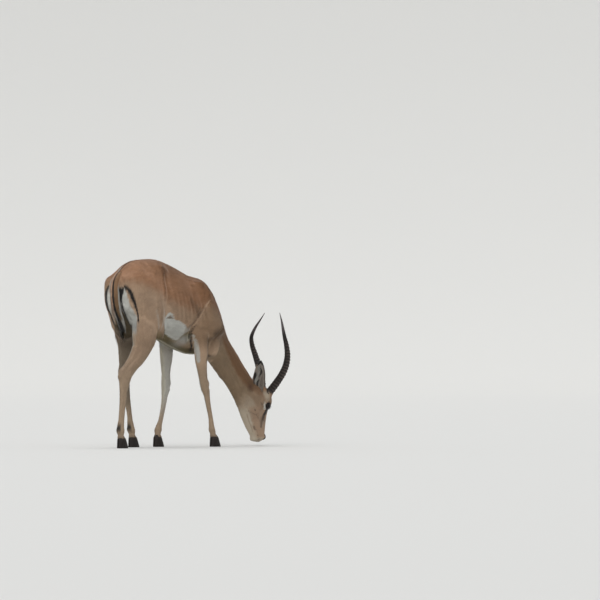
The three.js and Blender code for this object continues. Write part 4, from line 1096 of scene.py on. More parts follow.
def neck_colour(at, run, colours, ragged):
    """Brown above the line that runs from the shoulder to the ear, tan below, pale at the throat."""
    throat, neck, saddle, face, jaw = picked(colours, "throat", "neck", "saddle", "face", "jaw")
    rise = axis_rise(at, run)
    edge = along(NAPE_EDGE, run) + 0.004 * ragged
    colour = mix(throat, neck, ramp(edge - 0.010, edge + 0.012, rise))
    colour = mix(colour, saddle, 0.40 * ramp(0.045, 0.065, rise) * ramp(1.15, 1.0, run))
    patch = swell(at[:, 0] - 0.944, 0.024) * swell(at[:, 2] - 0.307, 0.024)
    colour = colour * (1 - 0.42 * patch * ramp(-0.006, 0.008, rise - edge))[:, None]
    colour = mix(colour, face, 0.5 * ramp(1.10, 1.20, run))
    return mix(colour, jaw, 0.5 * ramp(1.08, 1.20, run) * ramp(-0.020, -0.036, rise))


# Edge of the jaw's pale underside, as (height, x).
JAW_EDGE = [(0.03, 0.985), (0.09, 0.963), (0.13, 0.944), (0.17, 0.924), (0.23, 0.893), (0.27, 0.865)]


def head_colour(at, normals, colours, ragged):
    """Tan face, darker brow and bridge, pale jaw and lips, dark round the lids, white behind the eye."""
    folded = mirrored(at)
    x, y, z = folded.T
    face, forehead, jaw, white, bare = picked(colours, "face", "forehead", "jaw", "white", "bare")
    front = ramp(0.45, 0.85, normals[:, 0]) * ramp(0.032, 0.020, y)
    colour = mix(face, forehead, front * ramp(0.085, 0.15, z + 0.01 * ragged) * 0.85)
    colour = mix(colour, jaw, 0.9 * ramp(0.020, -0.016, x - along(JAW_EDGE, z) + 0.006 * ragged))
    lips = ramp(0.052, 0.030, z + 0.003 * ragged) * ramp(1.036, 1.022, x)
    colour = mix(colour, jaw, 0.75 * lips)
    away = np.linalg.norm((folded - EYE_AT) * (1, 0.7, 1), axis=1)
    behind = ramp(-0.006, -0.014, x - EYE_AT[0] + 0.2 * (z - EYE_AT[2]))
    crescent = ramp(0.0305, 0.0275, away + 0.0006 * ragged) * behind * ramp(0.022, 0.016, np.abs(z - 0.203))
    colour = mix(colour, white * 1.3, crescent)
    return mix(colour, bare * 1.4, 0.9 * ramp(0.0215, 0.0190, away + 0.0005 * ragged))


def coat_colour(at, normals, colours, depth):
    """The colour of skin and hair at each place, which lies that far under the tips of the coat."""
    bare = bare_share(at)
    at = at + normals * depth[:, None]
    ragged = mottle(at, 0.008, 1) + 0.6 * mottle(at, 0.021, 2)
    run = axis_place(at)
    colour = trunk_colour(at, normals, colours, ragged)
    neck = ramp(NECK_FROM - 0.07, NECK_FROM + 0.03, run) * (at[:, 0] > 0.66)
    colour = mix(colour, neck_colour(at, run, colours, ragged), neck)
    head = ramp(HEAD_FROM - 0.03, HEAD_FROM + 0.03, run) * (at[:, 0] > 0.86)
    colour = mix(colour, head_colour(at, normals, colours, ragged), head)
    colour = mix(colour, leg_colour(at, normals, colours, ragged), leg_share(at))
    colour = with_strokes(colour, at, colours, ragged)
    colour = mix(colour, np.array(colours.bare), bare * head)
    return colour * (1 + 0.05 * mottle(at, 0.045, 3) + 0.04 * mottle(at, 0.006, 4))[:, None]


# ---- coat -------------------------------------------------------------------------------------

COAT_PIECE_MOST = 46000  # tufts in one piece of the coat, each of four faces
PATCH = 0.003  # size of a tuft's patch on the OFBake map
TUFT_WIDTHS = (0.42, 0.5, 0.34, 0.2)  # half widths up a tuft of several rows, as shares of its width
ROOT_DEPTH = 0.0004  # how deep a tuft's root lies in the skin
LEG_TILE = {"across": 0.25, "up": 0.33}  # size of a leg's tile on the OFBake map
# Length and width of the tufts, as shares of the trunk's, and how much longer they are under the belly.
TUFT_SHARES = {"leg": (0.55, 0.62), "foot": (0.36, 0.62), "face": (0.42, 0.50), "muzzle": (0.24, 0.38)}
BELLY_LONGER, BELLY_LIFT = 0.35, 0.10
LEG_THINNER = 0.45  # how many fewer tufts a leg has for its area, as a share
TUFT_THICK = 0.32  # thickness as a share of the width
LENGTH_SPREAD, LIFT_SPREAD = (0.75, 1.2), (0.02, 0.12)  # least and most of a random share
SWIRL = {"slow": 0.22, "size": 0.05, "each": 0.13}  # how far the lie strays sideways
TONE_SPREAD = 0.075
BARE_FROM = 0.35  # no tufts grow where the skin is barer than this


def lie_of_coat(at):
    """The way the hair points: back along the trunk, up the neck and face, down the legs."""
    run = axis_place(at)
    _, ahead = axis_at(run)
    trunk = ramp(NECK_FROM + 0.05, NECK_FROM - 0.20, run)
    falling = np.array([0, 0, -1.0]) * (0.55 * trunk * ramp(0.02, 0.08, np.abs(at[:, 1])))[:, None]
    lie = unit(-ahead + falling)
    down = np.maximum(leg_share(at), 0.75 * trunk * ramp(0.74, 0.58, at[:, 2]) * (at[:, 0] < 0.26))
    down = np.maximum(down, ramp(0.14, 0.06, at[:, 0]) * ramp(0.90, 0.86, at[:, 2]))
    return unit(mix(lie, np.array([-0.12, 0, -1.0]), down))


def tuft_size(at, sizes):
    """Length and width of the tufts at each place."""
    legs, head = leg_share(at), head_share(at)
    z = at[:, 2]
    belly = ramp(0.62, 0.52, z) * (legs < 0.5) * (at[:, 0] < 0.66)
    foot, muzzle = ramp(0.35, 0.08, z), ramp(0.16, 0.07, z)
    found = []
    for k, size in enumerate((sizes.tuft, sizes.tuft_width)):
        of_leg, of_foot, of_face, of_muzzle = (shares[k] for shares in TUFT_SHARES.values())
        trunk = size * (1 + BELLY_LONGER * belly) if k == 0 else size
        on_legs = mix(trunk, size * mix(of_leg, of_foot, foot), legs)
        found.append(mix(on_legs, size * mix(of_face, of_muzzle, muzzle), head))
    return found


def spikes(at, out, lie, length, width, thick, rows, rise, droop):
    """Flat tapered tufts: three-sided, from a root just in the skin to a tip, of given rows."""
    count = len(at)
    across = unit(np.cross(out, lie))
    points, normals = [], []
    for k in range(rows):
        share = k / rows
        centre = at + lie * (length * share)[:, None]
        centre = centre + out * (rise * length * share - droop * length * share ** 2)[:, None]
        half = width * (0.5 if rows == 1 else TUFT_WIDTHS[min(k, 3)])
        points += [centre - across * half[:, None], centre + across * half[:, None],
                   centre + out * (thick * (1 - share))[:, None]]
        normals += [out - 0.35 * across, out + 0.35 * across, out]
    tip = at + lie * length[:, None] + out * ((rise - droop) * length)[:, None]
    points.append(tip)
    normals.append(out + 0.15 * lie)
    per = 3 * rows + 1
    faces = [(0, 2, 1)]
    for k in range(rows - 1):
        for a, b in ((0, 1), (1, 2), (2, 0)):
            low_a, low_b = 3 * k + a, 3 * k + b
            faces += [(low_a, low_b, low_b + 3), (low_a, low_b + 3, low_a + 3)]
    last = 3 * (rows - 1)
    faces += [(last, last + 1, per - 1), (last + 1, last + 2, per - 1), (last + 2, last, per - 1)]
    points = np.stack(points, 1).reshape(-1, 3)
    normals = unit(np.stack(normals, 1).reshape(-1, 3))
    faces = (np.array(faces)[None] + np.arange(count)[:, None, None] * per).reshape(-1, 3)
    return points, normals, faces, per


def body_map(at):
    """A place for each point on an unwrap of the skin: rump to lips across, round the body up it,
    with each leg in a tile of its own below."""
    run = axis_place(at)
    round_it = np.arctan2(at[:, 1], axis_rise(at, run)) / (2 * math.pi) + 0.5
    u = 0.01 + 0.98 * run / AXIS_LENGTH
    v = 0.36 + 0.63 * round_it
    on_leg = leg_share(at) > 0.5
    for i, (side, line) in enumerate(LEG_LINES.values()):
        ahead = at[:, 0] - leg_middle(line, at[:, 2])
        out = at[:, 1] - side * LEG_Y
        here = on_leg & (np.abs(ahead) < 0.13) & (at[:, 1] * side > 0)
        turn = np.arctan2(out, ahead) / (2 * math.pi) + 0.5
        u = np.where(here, 0.005 + LEG_TILE["across"] * i + (LEG_TILE["across"] - 0.01) * turn, u)
        v = np.where(here, 0.01 + LEG_TILE["up"] * at[:, 2] / 0.56, v)
    return np.stack([u, v], 1)


def tuft_mesh(name, at, out, lie, length, width, thick, colours, maps, rows=1, rise=0.05, droop=0.0):
    """Many tufts as one mesh, in the row frame, with colours, normals and the OFBake map."""
    points, normals, faces, per = spikes(at, out, lie, length, width, thick, rows, rise, droop)
    x = np.repeat(at[:, 0], per)
    mesh = new_mesh(name, to_row(points), faces)
    share = np.array([k // 3 / rows for k in range(per - 1)] + [1.0])
    tone = np.tile(mix(0.86, 1.10, share), len(at))[:, None]
    paint(mesh, np.repeat(colours, per, axis=0) * tone)
    corner = np.array([(-0.5, 0), (0.5, 0), (0, 0.2)] * rows + [(0, 1.0)])
    corner[:-1, 1] += np.repeat(np.arange(rows) / rows, 3) * 0.8
    uv = np.repeat(maps, per, axis=0) + np.tile(corner * PATCH, (len(at), 1))
    layer = mesh.uv_layers.new(name="OFBake")
    layer.uv.foreach_set("vector", uv[faces.ravel()].astype(np.float32).ravel())
    mesh.normals_split_custom_set_from_vertices(turned(normals, x))
    return mesh


def skin_roots(tufts_per_area, rng):
    """Random places on the skin with their outward directions, as many as the area there calls for."""
    mesh = bpy.data.objects["skin"].data
    at = to_straight(points_of(mesh))
    triangles = triangles_of(mesh)
    normals = normals_of(at, triangles)
    a, b, c = (at[triangles[:, k]] for k in range(3))
    area = np.linalg.norm(np.cross(b - a, c - a), axis=1) / 2
    weight = area * tufts_per_area((a + b + c) / 3)
    count = int(weight.sum())
    run = np.cumsum(weight)
    chosen = np.searchsorted(run, rng.random(count) * run[-1])
    r1, r2 = np.sqrt(rng.random(count)), rng.random(count)
    shares = np.stack([1 - r1, r1 * (1 - r2), r1 * r2], 1)[:, :, None]
    corners = triangles[np.minimum(chosen, len(triangles) - 1)]
    return (at[corners] * shares).sum(1), unit((normals[corners] * shares).sum(1))


def hairs(count):
    return count


def coat_regions(at):
    """Which piece of the coat each tuft belongs to."""
    run = axis_place(at)
    legs, fore = leg_share(at) > 0.5, at[:, 0] > 0.35
    names = np.full(len(at), "coat_haunches", dtype="U20")
    names[run > 0.27] = "coat_barrel"
    names[run > 0.56] = "coat_shoulders"
    names[(run > NECK_FROM) & (at[:, 0] > 0.66)] = "coat_neck"
    names[(run > HEAD_FROM) & (at[:, 0] > 0.86)] = "coat_head"
    names[legs & fore] = "coat_forelegs"
    names[legs & ~fore] = "coat_hindlegs"
    return names


def build_coat(context):
    """Tufts all over the skin but its bare parts, in pieces by region."""
    colours, sizes = context.scene.impala_colours, context.scene.impala_sizes
    rng = np.random.default_rng(RNG_SEED)
    cover = sizes.cover * 1.0

    def tufts_per_area(at):
        """Fewer where they are large, and fewer on the legs."""
        length, width = tuft_size(at, sizes)
        return cover * 2 / (length * width) * (1 - LEG_THINNER * leg_share(at))

    at, out = skin_roots(tufts_per_area, rng)
    keep = (bare_share(at) < BARE_FROM) & (at[:, 2] > HOOF_TOP - 0.001)
    at, out = at[keep], out[keep]
    count = len(at)
    length, width = tuft_size(at, sizes)
    length = length * rng.uniform(*LENGTH_SPREAD, count)
    lie = lie_of_coat(at)
    swirl = SWIRL["slow"] * mottle(at, SWIRL["size"], 7) + rng.normal(0, SWIRL["each"], count)
    lie = lie + np.cross(out, lie) * swirl[:, None]
    lie = unit(lie - out * (lie * out).sum(1)[:, None])
    lift = rng.uniform(*LIFT_SPREAD, count) + BELLY_LIFT * ramp(0.60, 0.50, at[:, 2]) * (at[:, 0] < 0.66)
    colour = coat_colour(at, out, colours, skin_depth(at, sizes.coat))
    colour = colour * rng.normal(1.0, TONE_SPREAD, count)[:, None]
    maps, names, material = body_map(at), coat_regions(at), material_of("Coat")
    for region in sorted(set(names)):
        found = np.flatnonzero(names == region)
        parts = max(1, math.ceil(len(found) / COAT_PIECE_MOST))
        for k, chosen in enumerate(np.array_split(found, parts)):
            name = region if parts == 1 else f"{region}_{k + 1}"
            mesh = tuft_mesh(
                name, at[chosen] - out[chosen] * ROOT_DEPTH, out[chosen], lie[chosen], length[chosen],
                width[chosen], width[chosen] * TUFT_THICK, colour[chosen], maps[chosen], rise=lift[chosen],
            )
            piece(name, mesh, material)


# ---- ears -------------------------------------------------------------------------------------

EAR = {"x": 0.984, "y": 0.037, "z": 0.276, "length": 0.170, "half": 0.0305, "cup": 0.017, "thick": 0.0030}
EAR_LEAN = {-1: (20, 9), 1: (2, -22)}  # degrees outward and back of the right ear and the left
EAR_AIM = (-0.60, 0.80, 0.05)  # where the opening looks, on the left
EAR_ROWS, EAR_STEPS = 44, 22
EAR_HAIRS = 9000
EAR_HAIR = {"outside": 0.006, "inside": 0.010, "at the edge": -0.004, "rear fringe": 0.014}  # lengths


def ear_axes(side):
    """Up the ear, out of its opening, and across it."""
    lean, back = (math.radians(angle) for angle in EAR_LEAN[side])
    rise = unit(np.array([-math.sin(back), side * math.sin(lean), math.cos(lean)]))
    opening = unit(-np.cross(np.cross(np.array(EAR_AIM) * (1, side, 1), rise), rise))
    return rise, opening, np.cross(rise, opening)


def ear_rings(side, inset):
    """Rows of points up an ear: the outer skin from edge to edge, then the inner one back."""
    rise, opening, wide = ear_axes(side)
    base = np.array([EAR["x"], side * EAR["y"], EAR["z"]])
    rings, marks = [], []
    for i in range(EAR_ROWS + 1):
        share = i / EAR_ROWS
        half = EAR["half"] * math.sin(math.pi * (0.13 + 0.87 * share) ** 0.9) ** 0.62 + 0.0008
        roll = mix(1.5, 0.55, float(ramp(0, 0.55, share)))
        depth = EAR["cup"] * mix(0.9, 0.25, share)
        thick = EAR["thick"] * mix(1.5, 0.5, share)
        centre = base + rise * EAR["length"] * share
        turn = np.linspace(-1, 1, EAR_STEPS + 1)
        angle = turn * roll
        across = (half - inset) * np.sin(angle) / math.sin(min(roll, math.pi / 2))
        fall = -depth * np.cos(angle)
        edge = np.where(np.abs(turn) == 1, 0.3, 1.0)
        outer = centre + wide * across[:, None] + opening * (fall - thick * edge)[:, None]
        inner = centre + wide * (across * 0.97)[:, None] + opening * fall[:, None]
        rings.append(np.concatenate([outer, inner[::-1]]))
        marks.append(np.stack([
            np.full(2 * len(turn), share),
            np.concatenate([turn, turn[::-1]]) * -side,
            np.repeat([1.0, 0.0], len(turn)),
        ], 1))
    return np.array(rings), np.array(marks)


# Marks inside the ear: places as (share of the way up, turn across it, the rear edge being -1), half
# widths in metres, colour and its tone, and strength.
EAR_MARKS = [
    ([(0.78, -0.35), (0.72, -0.42), (0.65, -0.45)], [0.006, 0.009, 0.006], "white", 0.45, 0.6),
    ([(0.61, -0.20), (0.54, -0.30), (0.48, -0.38)], [0.002, 0.0035, 0.002], "white", 0.60, 0.7),
    ([(0.43, -0.50), (0.34, -0.55), (0.25, -0.60)], [0.004, 0.006, 0.004], "white", 0.58, 0.8),
    ([(0.45, 0.45), (0.30, 0.40), (0.12, 0.30)], [0.0020, 0.0030, 0.0020], "ear_skin", 1.0, 0.6),
    ([(0.40, 0.70), (0.28, 0.66), (0.12, 0.55)], [0.0020, 0.0025, 0.0020], "ear_skin", 0.9, 0.6),
    ([(0.60, 0.62), (0.50, 0.66), (0.40, 0.62)], [0.0016, 0.0022, 0.0016], "ear_skin", 0.9, 0.5),
    ([(0.79, 0.08), (0.71, 0.18), (0.64, 0.34), (0.53, 0.24), (0.47, 0.00), (0.40, -0.05)],
     [0.0030, 0.0058, 0.0060, 0.0052, 0.0040, 0.0020], "stripe", 1.2, 0.93),
    ([(0.36, -0.06), (0.33, -0.10), (0.25, -0.28), (0.15, -0.30), (0.05, -0.28)],
     [0.0025, 0.0045, 0.0050, 0.0042, 0.0030], "stripe", 1.1, 0.9),
    ([(0.90, 0.93), (0.70, 0.97), (0.45, 0.97), (0.25, 0.95)], [0.0020, 0.0018, 0.0013, 0.0010],
     "stripe", 1.2, 0.8),
    ([(0.57, -0.95), (0.47, -0.86), (0.37, -0.90)], [0.0030, 0.0085, 0.0040], "stripe", 1.0, 0.95),
    ([(0.40, -0.95), (0.25, -0.92), (0.05, -0.85)], [0.0030, 0.0025, 0.0020], "stripe", 1.1, 0.8),
]


def ear_colour(marks, colours, ragged):
    """Tan outside; inside, grey hair parted by dark lines, with a black patch at the rear edge; and a
    black tip to both."""
    shape = marks.shape[:-1]
    share, turn, outside = marks.reshape(-1, 3).T
    ragged = np.broadcast_to(ragged, shape).ravel()
    face, stripe, hair, skin = picked(colours, "face", "stripe", "ear", "ear_skin")
    place = np.stack([share * EAR["length"], turn * EAR["half"], np.zeros(len(share))], 1)
    inner = mix(np.tile(hair, (len(share), 1)), skin, 0.10 * ramp(0.5, 0.0, share) * ramp(-0.2, 0.5, turn))
    for path, halves, name, tone, strength in EAR_MARKS:
        path = np.array([(up * EAR["length"], across * EAR["half"], 0) for up, across in path])
        share_here = strength * marked(place, path, halves, ragged)
        inner = mix(inner, picked(colours, name)[0] * tone, share_here)
    inner = mix(inner, stripe, ramp(0.875, 0.925, share + 0.09 * np.abs(turn) + 0.01 * ragged))
    outer = mix(np.tile(face, (len(share), 1)), stripe * 1.2, ramp(0.80, 0.90, share))
    colour = mix(inner, outer, outside)
    return colour.reshape(*shape, 3)


def build_ears(context):
    """Both ears, each a thin closed skin and its hair."""
    colours = context.scene.impala_colours
    rng = np.random.default_rng(RNG_SEED + 1)
    material = material_of("Coat")
    for word, side in SIDES:
        rings, marks = ear_rings(side, 0.001)
        mesh = facing_out(loft_mesh(f"ear_{word}_skin", to_row_rings(rings), ear_colour(marks, colours, 0)))
        value_layer(mesh, "bare", np.zeros(len(mesh.vertices)))
        piece(f"ear_{word}_skin", mesh, material, [f"ear_{word}"])
        build_ear_hair(word, side, rings, marks, colours, rng, material)


def build_ear_hair(word, side, rings, marks, colours, rng, material):
    """Short hair over the back of the ear, longer pale rows and edges inside."""
    rows, sides = rings.shape[:2]
    _, opening, wide = ear_axes(side)
    count = hairs(EAR_HAIRS)
    i = rng.uniform(0.0, rows - 1.6, count)
    j = rng.uniform(0, sides, count)
    i0, j0 = i.astype(int), j.astype(int)
    f, g = (i - i0)[:, None], (j - j0)[:, None]
    j1 = (j0 + 1) % sides

    def sample(grid):
        """A grid's values at the chosen places, between its points."""
        low = grid[i0, j0] * (1 - g) + grid[i0, j1] * g
        high = grid[i0 + 1, j0] * (1 - g) + grid[i0 + 1, j1] * g
        return low * (1 - f) + high * f

    at, mark = sample(rings), sample(marks)
    up = unit(rings[i0 + 1, j0] - rings[i0, j0])
    round_it = unit(rings[i0, j1] - rings[i0, j0])
    out = unit(np.cross(round_it, up)) * side
    outside = mark[:, 2] > 0.5
    out = np.where((out @ opening > 0)[:, None] == outside[:, None], -out, out)
    share, turn = mark[:, 0], mark[:, 1]
    edge = ramp(0.80, 1.0, np.abs(turn))
    fringe = ramp(-0.4, -0.9, turn) * ramp(0.30, 0.10, share)
    inside = EAR_HAIR["inside"] + EAR_HAIR["at the edge"] * edge + EAR_HAIR["rear fringe"] * fringe
    length = np.where(outside, EAR_HAIR["outside"], inside)
    length = length * mix(1.0, 0.55, ramp(0.7, 1.0, share))
    length = length * rng.uniform(0.7, 1.25, count)
    inward = -wide * np.sign(turn)[:, None] * np.where(outside, 0.0, 0.45)[:, None]
    lie = unit(up + inward + rng.normal(0, 0.12, (count, 3)))
    lie = unit(lie - out * (lie * out).sum(1)[:, None])
    colour = ear_colour(mark, colours, mottle(at, 0.006, 6)) * rng.normal(1, 0.09, count)[:, None]
    maps = np.stack([0.01 + 0.97 * (i / rows), 0.01 + 0.97 * (j / sides)], 1)
    width = np.where(outside, 0.0011, 0.0010)
    lift = np.where(outside, 0.08, 0.20 - 0.10 * edge)
    name = f"ear_{word}_hair"
    mesh = tuft_mesh(name, at, out, lie, length, width, width * 0.3, colour, maps, rows=2, rise=lift)
    piece(name, mesh, material)


# ---- eyes -------------------------------------------------------------------------------------


EYE_ROWS, EYE_SIDES = 40, 64
PUPIL = (0.42, 0.20)  # half its size across the head and up it, as shares of the eyeball's radius
PUPIL_BLACK = (0.002, 0.002, 0.003)
CORNEA = 0.045  # how far it stands out, as a share of the eyeball's radius
LID_ROWS, LID_SIDES = 72, 10
LID_ROLL = (0.0019, 0.0015)  # half width and half height of the lids' soft edge
LASHES, LASH_LENGTHS, LASH_SIZE = 60, (0.007, 0.011), (0.0006, 0.0004)


def build_eyes(context):
    """Both eyeballs, with the edges of their lids and the lashes."""
    colours, sizes = context.scene.impala_colours, context.scene.impala_sizes
    lean, turn = np.linspace(0.02, math.pi - 0.02, EYE_ROWS), full_turn(EYE_SIDES)
    for word, side in SIDES:
        rings = to_row_rings(eyeball_rings(side, sizes.eye, lean, turn))
        mesh = facing_out(loft_mesh(f"eyeball_{word}", rings, eye_colour(colours, lean, turn)))
        piece(f"eyeball_{word}", mesh, material_of("Eye"), [f"eye_{word}"])
        build_lids(word, side, sizes.eye, np.array(colours.bare))


def eyeball_rings(side, radius, lean, turn):
    """The eyeball from the middle of its front to that of its back, with the cornea raised."""
    look, tall, wide = eye_axes(side)
    ring = np.cos(turn)[:, None] * tall + np.sin(turn)[:, None] * wide
    reach = radius * (1 + CORNEA * ramp(0.62, 0.30, lean))[:, None, None]
    lean = lean[:, None, None]
    return eye_centre(side) + reach * (np.cos(lean) * look + np.sin(lean) * ring)


def eye_colour(colours, lean, turn):
    """Dark all over, with a streaked brown ring round a pupil that lies across the head."""
    bare, iris = picked(colours, "bare", "iris")
    across = np.sin(lean)[:, None] * np.sin(turn)
    up = np.sin(lean)[:, None] * np.cos(turn)
    front = np.cos(lean)[:, None] > 0
    in_pupil = ramp(1.15, 0.85, np.hypot(across / PUPIL[0], up / PUPIL[1])) * front
    in_iris = ramp(0.74, 0.66, np.hypot(across, up)) * front
    colour = mix(np.broadcast_to(bare * 1.4, across.shape + (3,)), iris, in_iris)
    colour = colour * (1 + 0.25 * np.sin(turn * 34) * in_iris)[..., None]
    return mix(colour, np.array(PUPIL_BLACK), in_pupil)


def build_lids(word, side, radius, colour):
    """The bare edge of the lids, a soft roll on the eyeball round the opening, with its lashes."""
    look, tall, wide = eye_axes(side)
    centre = eye_centre(side)
    up, across = almond(full_turn(LID_ROWS), 0.0010)
    lift = np.sqrt(np.maximum((radius + 0.0006) ** 2 - up ** 2 - across ** 2, 0))
    path = centre + up[:, None] * tall + across[:, None] * wide + lift[:, None] * look
    ahead = unit(np.roll(path, -1, 0) - np.roll(path, 1, 0))
    out = unit(path - centre)
    away = np.cross(ahead, out)
    roll = full_turn(LID_SIDES)[None, :, None]
    rings = path[:, None] + LID_ROLL[0] * np.cos(roll) * away[:, None]
    rings = rings + LID_ROLL[1] * np.sin(roll) * out[:, None]
    points = to_row(rings.reshape(-1, 3))
    faces = grid_faces(LID_ROWS + 1, LID_SIDES) % len(points)  # the last ring meets the first again
    mesh = facing_out(new_mesh(f"lids_{word}", points, faces))
    mesh.polygons.foreach_set("use_smooth", np.ones(len(mesh.polygons), bool))
    paint(mesh, np.tile(colour, (len(points), 1)))
    piece(f"lids_{word}", mesh, material_of("Bare skin"))

    rng = np.random.default_rng(RNG_SEED + 2)
    chosen = rng.choice(np.flatnonzero(across * wide[0] > 0.004), LASHES)
    path, ahead, out, away, across = (each[chosen] for each in (path, ahead, out, away, across))
    outward = away * np.sign((away * wide).sum(1) * across)[:, None]
    fan = unit(out + 0.9 * outward + rng.normal(0, 0.12, (LASHES, 3)))
    maps = np.stack([np.linspace(0.05, 0.95, LASHES), np.full(LASHES, 0.5)], 1)
    lashes = tuft_mesh(
        f"lashes_{word}", path + out * 0.001, unit(np.cross(ahead, fan)), fan,
        rng.uniform(*LASH_LENGTHS, LASHES), *(np.full(LASHES, size) for size in LASH_SIZE),
        np.tile(colour * 0.6, (LASHES, 1)), maps, rows=3, rise=0.0, droop=0.15,
    )
    piece(f"lashes_{word}", lashes, material_of("Bare skin"))


# ---- horns ------------------------------------------------------------------------------------

HORN_BASE = (1.065, 0.037, 0.291)
# Up, forward and outward from the middle of the base.
HORN_PATH = [
    (-0.040, -0.031, -0.012), (-0.012, -0.006, 0.000), (0.038, 0.019, 0.030), (0.080, 0.031, 0.058),
    (0.123, 0.036, 0.080), (0.168, 0.032, 0.097), (0.223, 0.018, 0.107), (0.266, 0.010, 0.102),
    (0.313, 0.017, 0.079), (0.350, 0.028, 0.054), (0.389, 0.038, 0.026),
]
HORN_TIP = 0.0012
HORN_FULLNESS = 1.8  # how long the horn stays thick: 1 would be an even taper
HORN_OVAL = (1.08, 0.95)  # its depth from front to back, and its width
RINGED_SHARE = 0.70
RING_HEIGHT = 0.0029
# A painted reflection of the sky: the bluish tint of the smooth tip.
TIP_SKY_REFLECTION = (0.80, 0.88, 1.0)
RING_STEPS, RING_HEIGHTS = (0.85, 1.15), (0.75, 1.15)  # least and most of their random spread
HORN_SIDES, HORN_ROWS = 56, 330


def ring_crests(share, edges, heights):
    """Which ring each place along the horn belongs to, and how high its crest stands there."""
    which = np.clip(np.searchsorted(edges, share, side="right") - 1, 0, len(edges) - 1)
    width = np.append(np.diff(edges), 1.0)[which]
    crest = np.sin(math.pi * np.clip((share - edges[which]) / width, 0, 1) ** 0.75) ** 2.2
    return which, crest * heights[which] * ramp(RINGED_SHARE + 0.005, RINGED_SHARE - 0.05, share)


def horn_radius(share, turn, rise, base, which, crest):
    """The radius at each place along the horn and round it: taper, rings, fine ridges and unevenness."""
    taper = mix(base, HORN_TIP, share ** HORN_FULLNESS) * mix(0.55, 1.0, ramp(-0.044, -0.022, rise))
    fine = np.sin(turn[None, :] * 23 + 3 * np.sin(share[:, None] * 9))
    fine = 0.012 * fine * ramp(0.0, 0.1, share)[:, None]
    radius = taper[:, None] * (1 + 0.06 * np.cos(turn) + fine * (1 - 0.6 * share[:, None]))
    knob = 1 + 0.30 * mottle(np.outer(which, (1.7, 0.6, 1.1)), 1.0, 10)
    round_it = (0.65 + 0.35 * np.cos(turn))[None, :] * knob[:, None]
    radius = radius + (RING_HEIGHT * (1 - 0.45 * share) * crest)[:, None] * round_it
    on_horn = np.stack(np.broadcast_arrays(share[:, None] * 8, np.cos(turn), np.sin(turn)), -1)
    uneven = 0.0005 * mottle(on_horn.reshape(-1, 3), 0.35, 9).reshape(radius.shape)
    return radius + uneven * (1 - share)[:, None]


def horn_colour(colours, rings, share, turn, crest):
    """Dark in the grooves, worn pale on the crests and towards the tip, where a painted bluish reflection
    of the sky tints it, and streaked.
    """
    horn, worn = picked(colours, "horn", "horn_worn")
    front = 0.50 + 0.50 * np.cos(turn)
    rubbed = np.clip(crest[:, None] * (0.35 + 0.65 * front), 0, 1) ** 1.5
    smooth = ramp(RINGED_SHARE, RINGED_SHARE + 0.12, share)[:, None] * np.ones(len(turn))
    colour = mix(mix(horn, worn, rubbed), worn * TIP_SKY_REFLECTION, 0.6 * smooth)
    streaks = 0.08 * mottle(rings.reshape(-1, 3), 0.004, 8).reshape(rubbed.shape)
    return colour * (1 + 0.10 * np.sin(turn * 17 + 1.3) + streaks)[..., None]


def build_horns(context):
    """Both horns: a curved path, ringed for most of its length, in the same way on both sides."""
    colours, sizes = context.scene.impala_colours, context.scene.impala_sizes
    rng = np.random.default_rng(RNG_SEED + 3)
    steps = rng.uniform(*RING_STEPS, sizes.rings)
    edges = np.concatenate([[0], np.cumsum(steps)]) / steps.sum() * RINGED_SHARE
    heights = rng.uniform(*RING_HEIGHTS, sizes.rings + 1)
    share, turn = np.linspace(0, 1, HORN_ROWS), full_turn(HORN_SIDES)
    which, crest = ring_crests(share, edges, heights)
    for word, side in SIDES:
        path = smooth_path([
            (HORN_BASE[0] + forward, side * (HORN_BASE[1] + out), HORN_BASE[2] + up)
            for up, forward, out in HORN_PATH
        ], HORN_ROWS)
        ahead = unit(np.gradient(path, axis=0))
        across = unit(np.cross(np.array([1.0, 0, 0]), ahead))
        forward = unit(np.cross(ahead, across))
        radius = horn_radius(share, turn, path[:, 2] - HORN_BASE[2], sizes.horn, which, crest)
        rings = (
            path[:, None]
            + (radius * HORN_OVAL[0] * np.cos(turn))[..., None] * forward[:, None]
            + (radius * HORN_OVAL[1] * np.sin(turn))[..., None] * across[:, None]
        )
        name = f"horn_{word}_sheath"
        colour = horn_colour(colours, rings, share, turn, crest)
        mesh = facing_out(loft_mesh(name, to_row_rings(rings), colour))
        piece(name, mesh, material_of("Keratin"), [f"horn_{word}"])


# ---- hooves -----------------------------------------------------------------------------------

# How far forward each foot's toe stands, and the sizes of a claw.
TOES = {"foreleg_right": 0.634, "foreleg_left": 0.408, "hindleg_right": -0.030, "hindleg_left": 0.230}
CLAW = {"length": 0.033, "width": 0.019, "slit": 0.0013, "slope": 0.012}
CLAW_TOP = 1.32  # how far a claw runs up under the hair, as a share of its seen height
CLAW_ROWS, CLAW_SIDES = 26, 40
GROWTH_LINES = 44  # radians of their wave over the claw's seen height


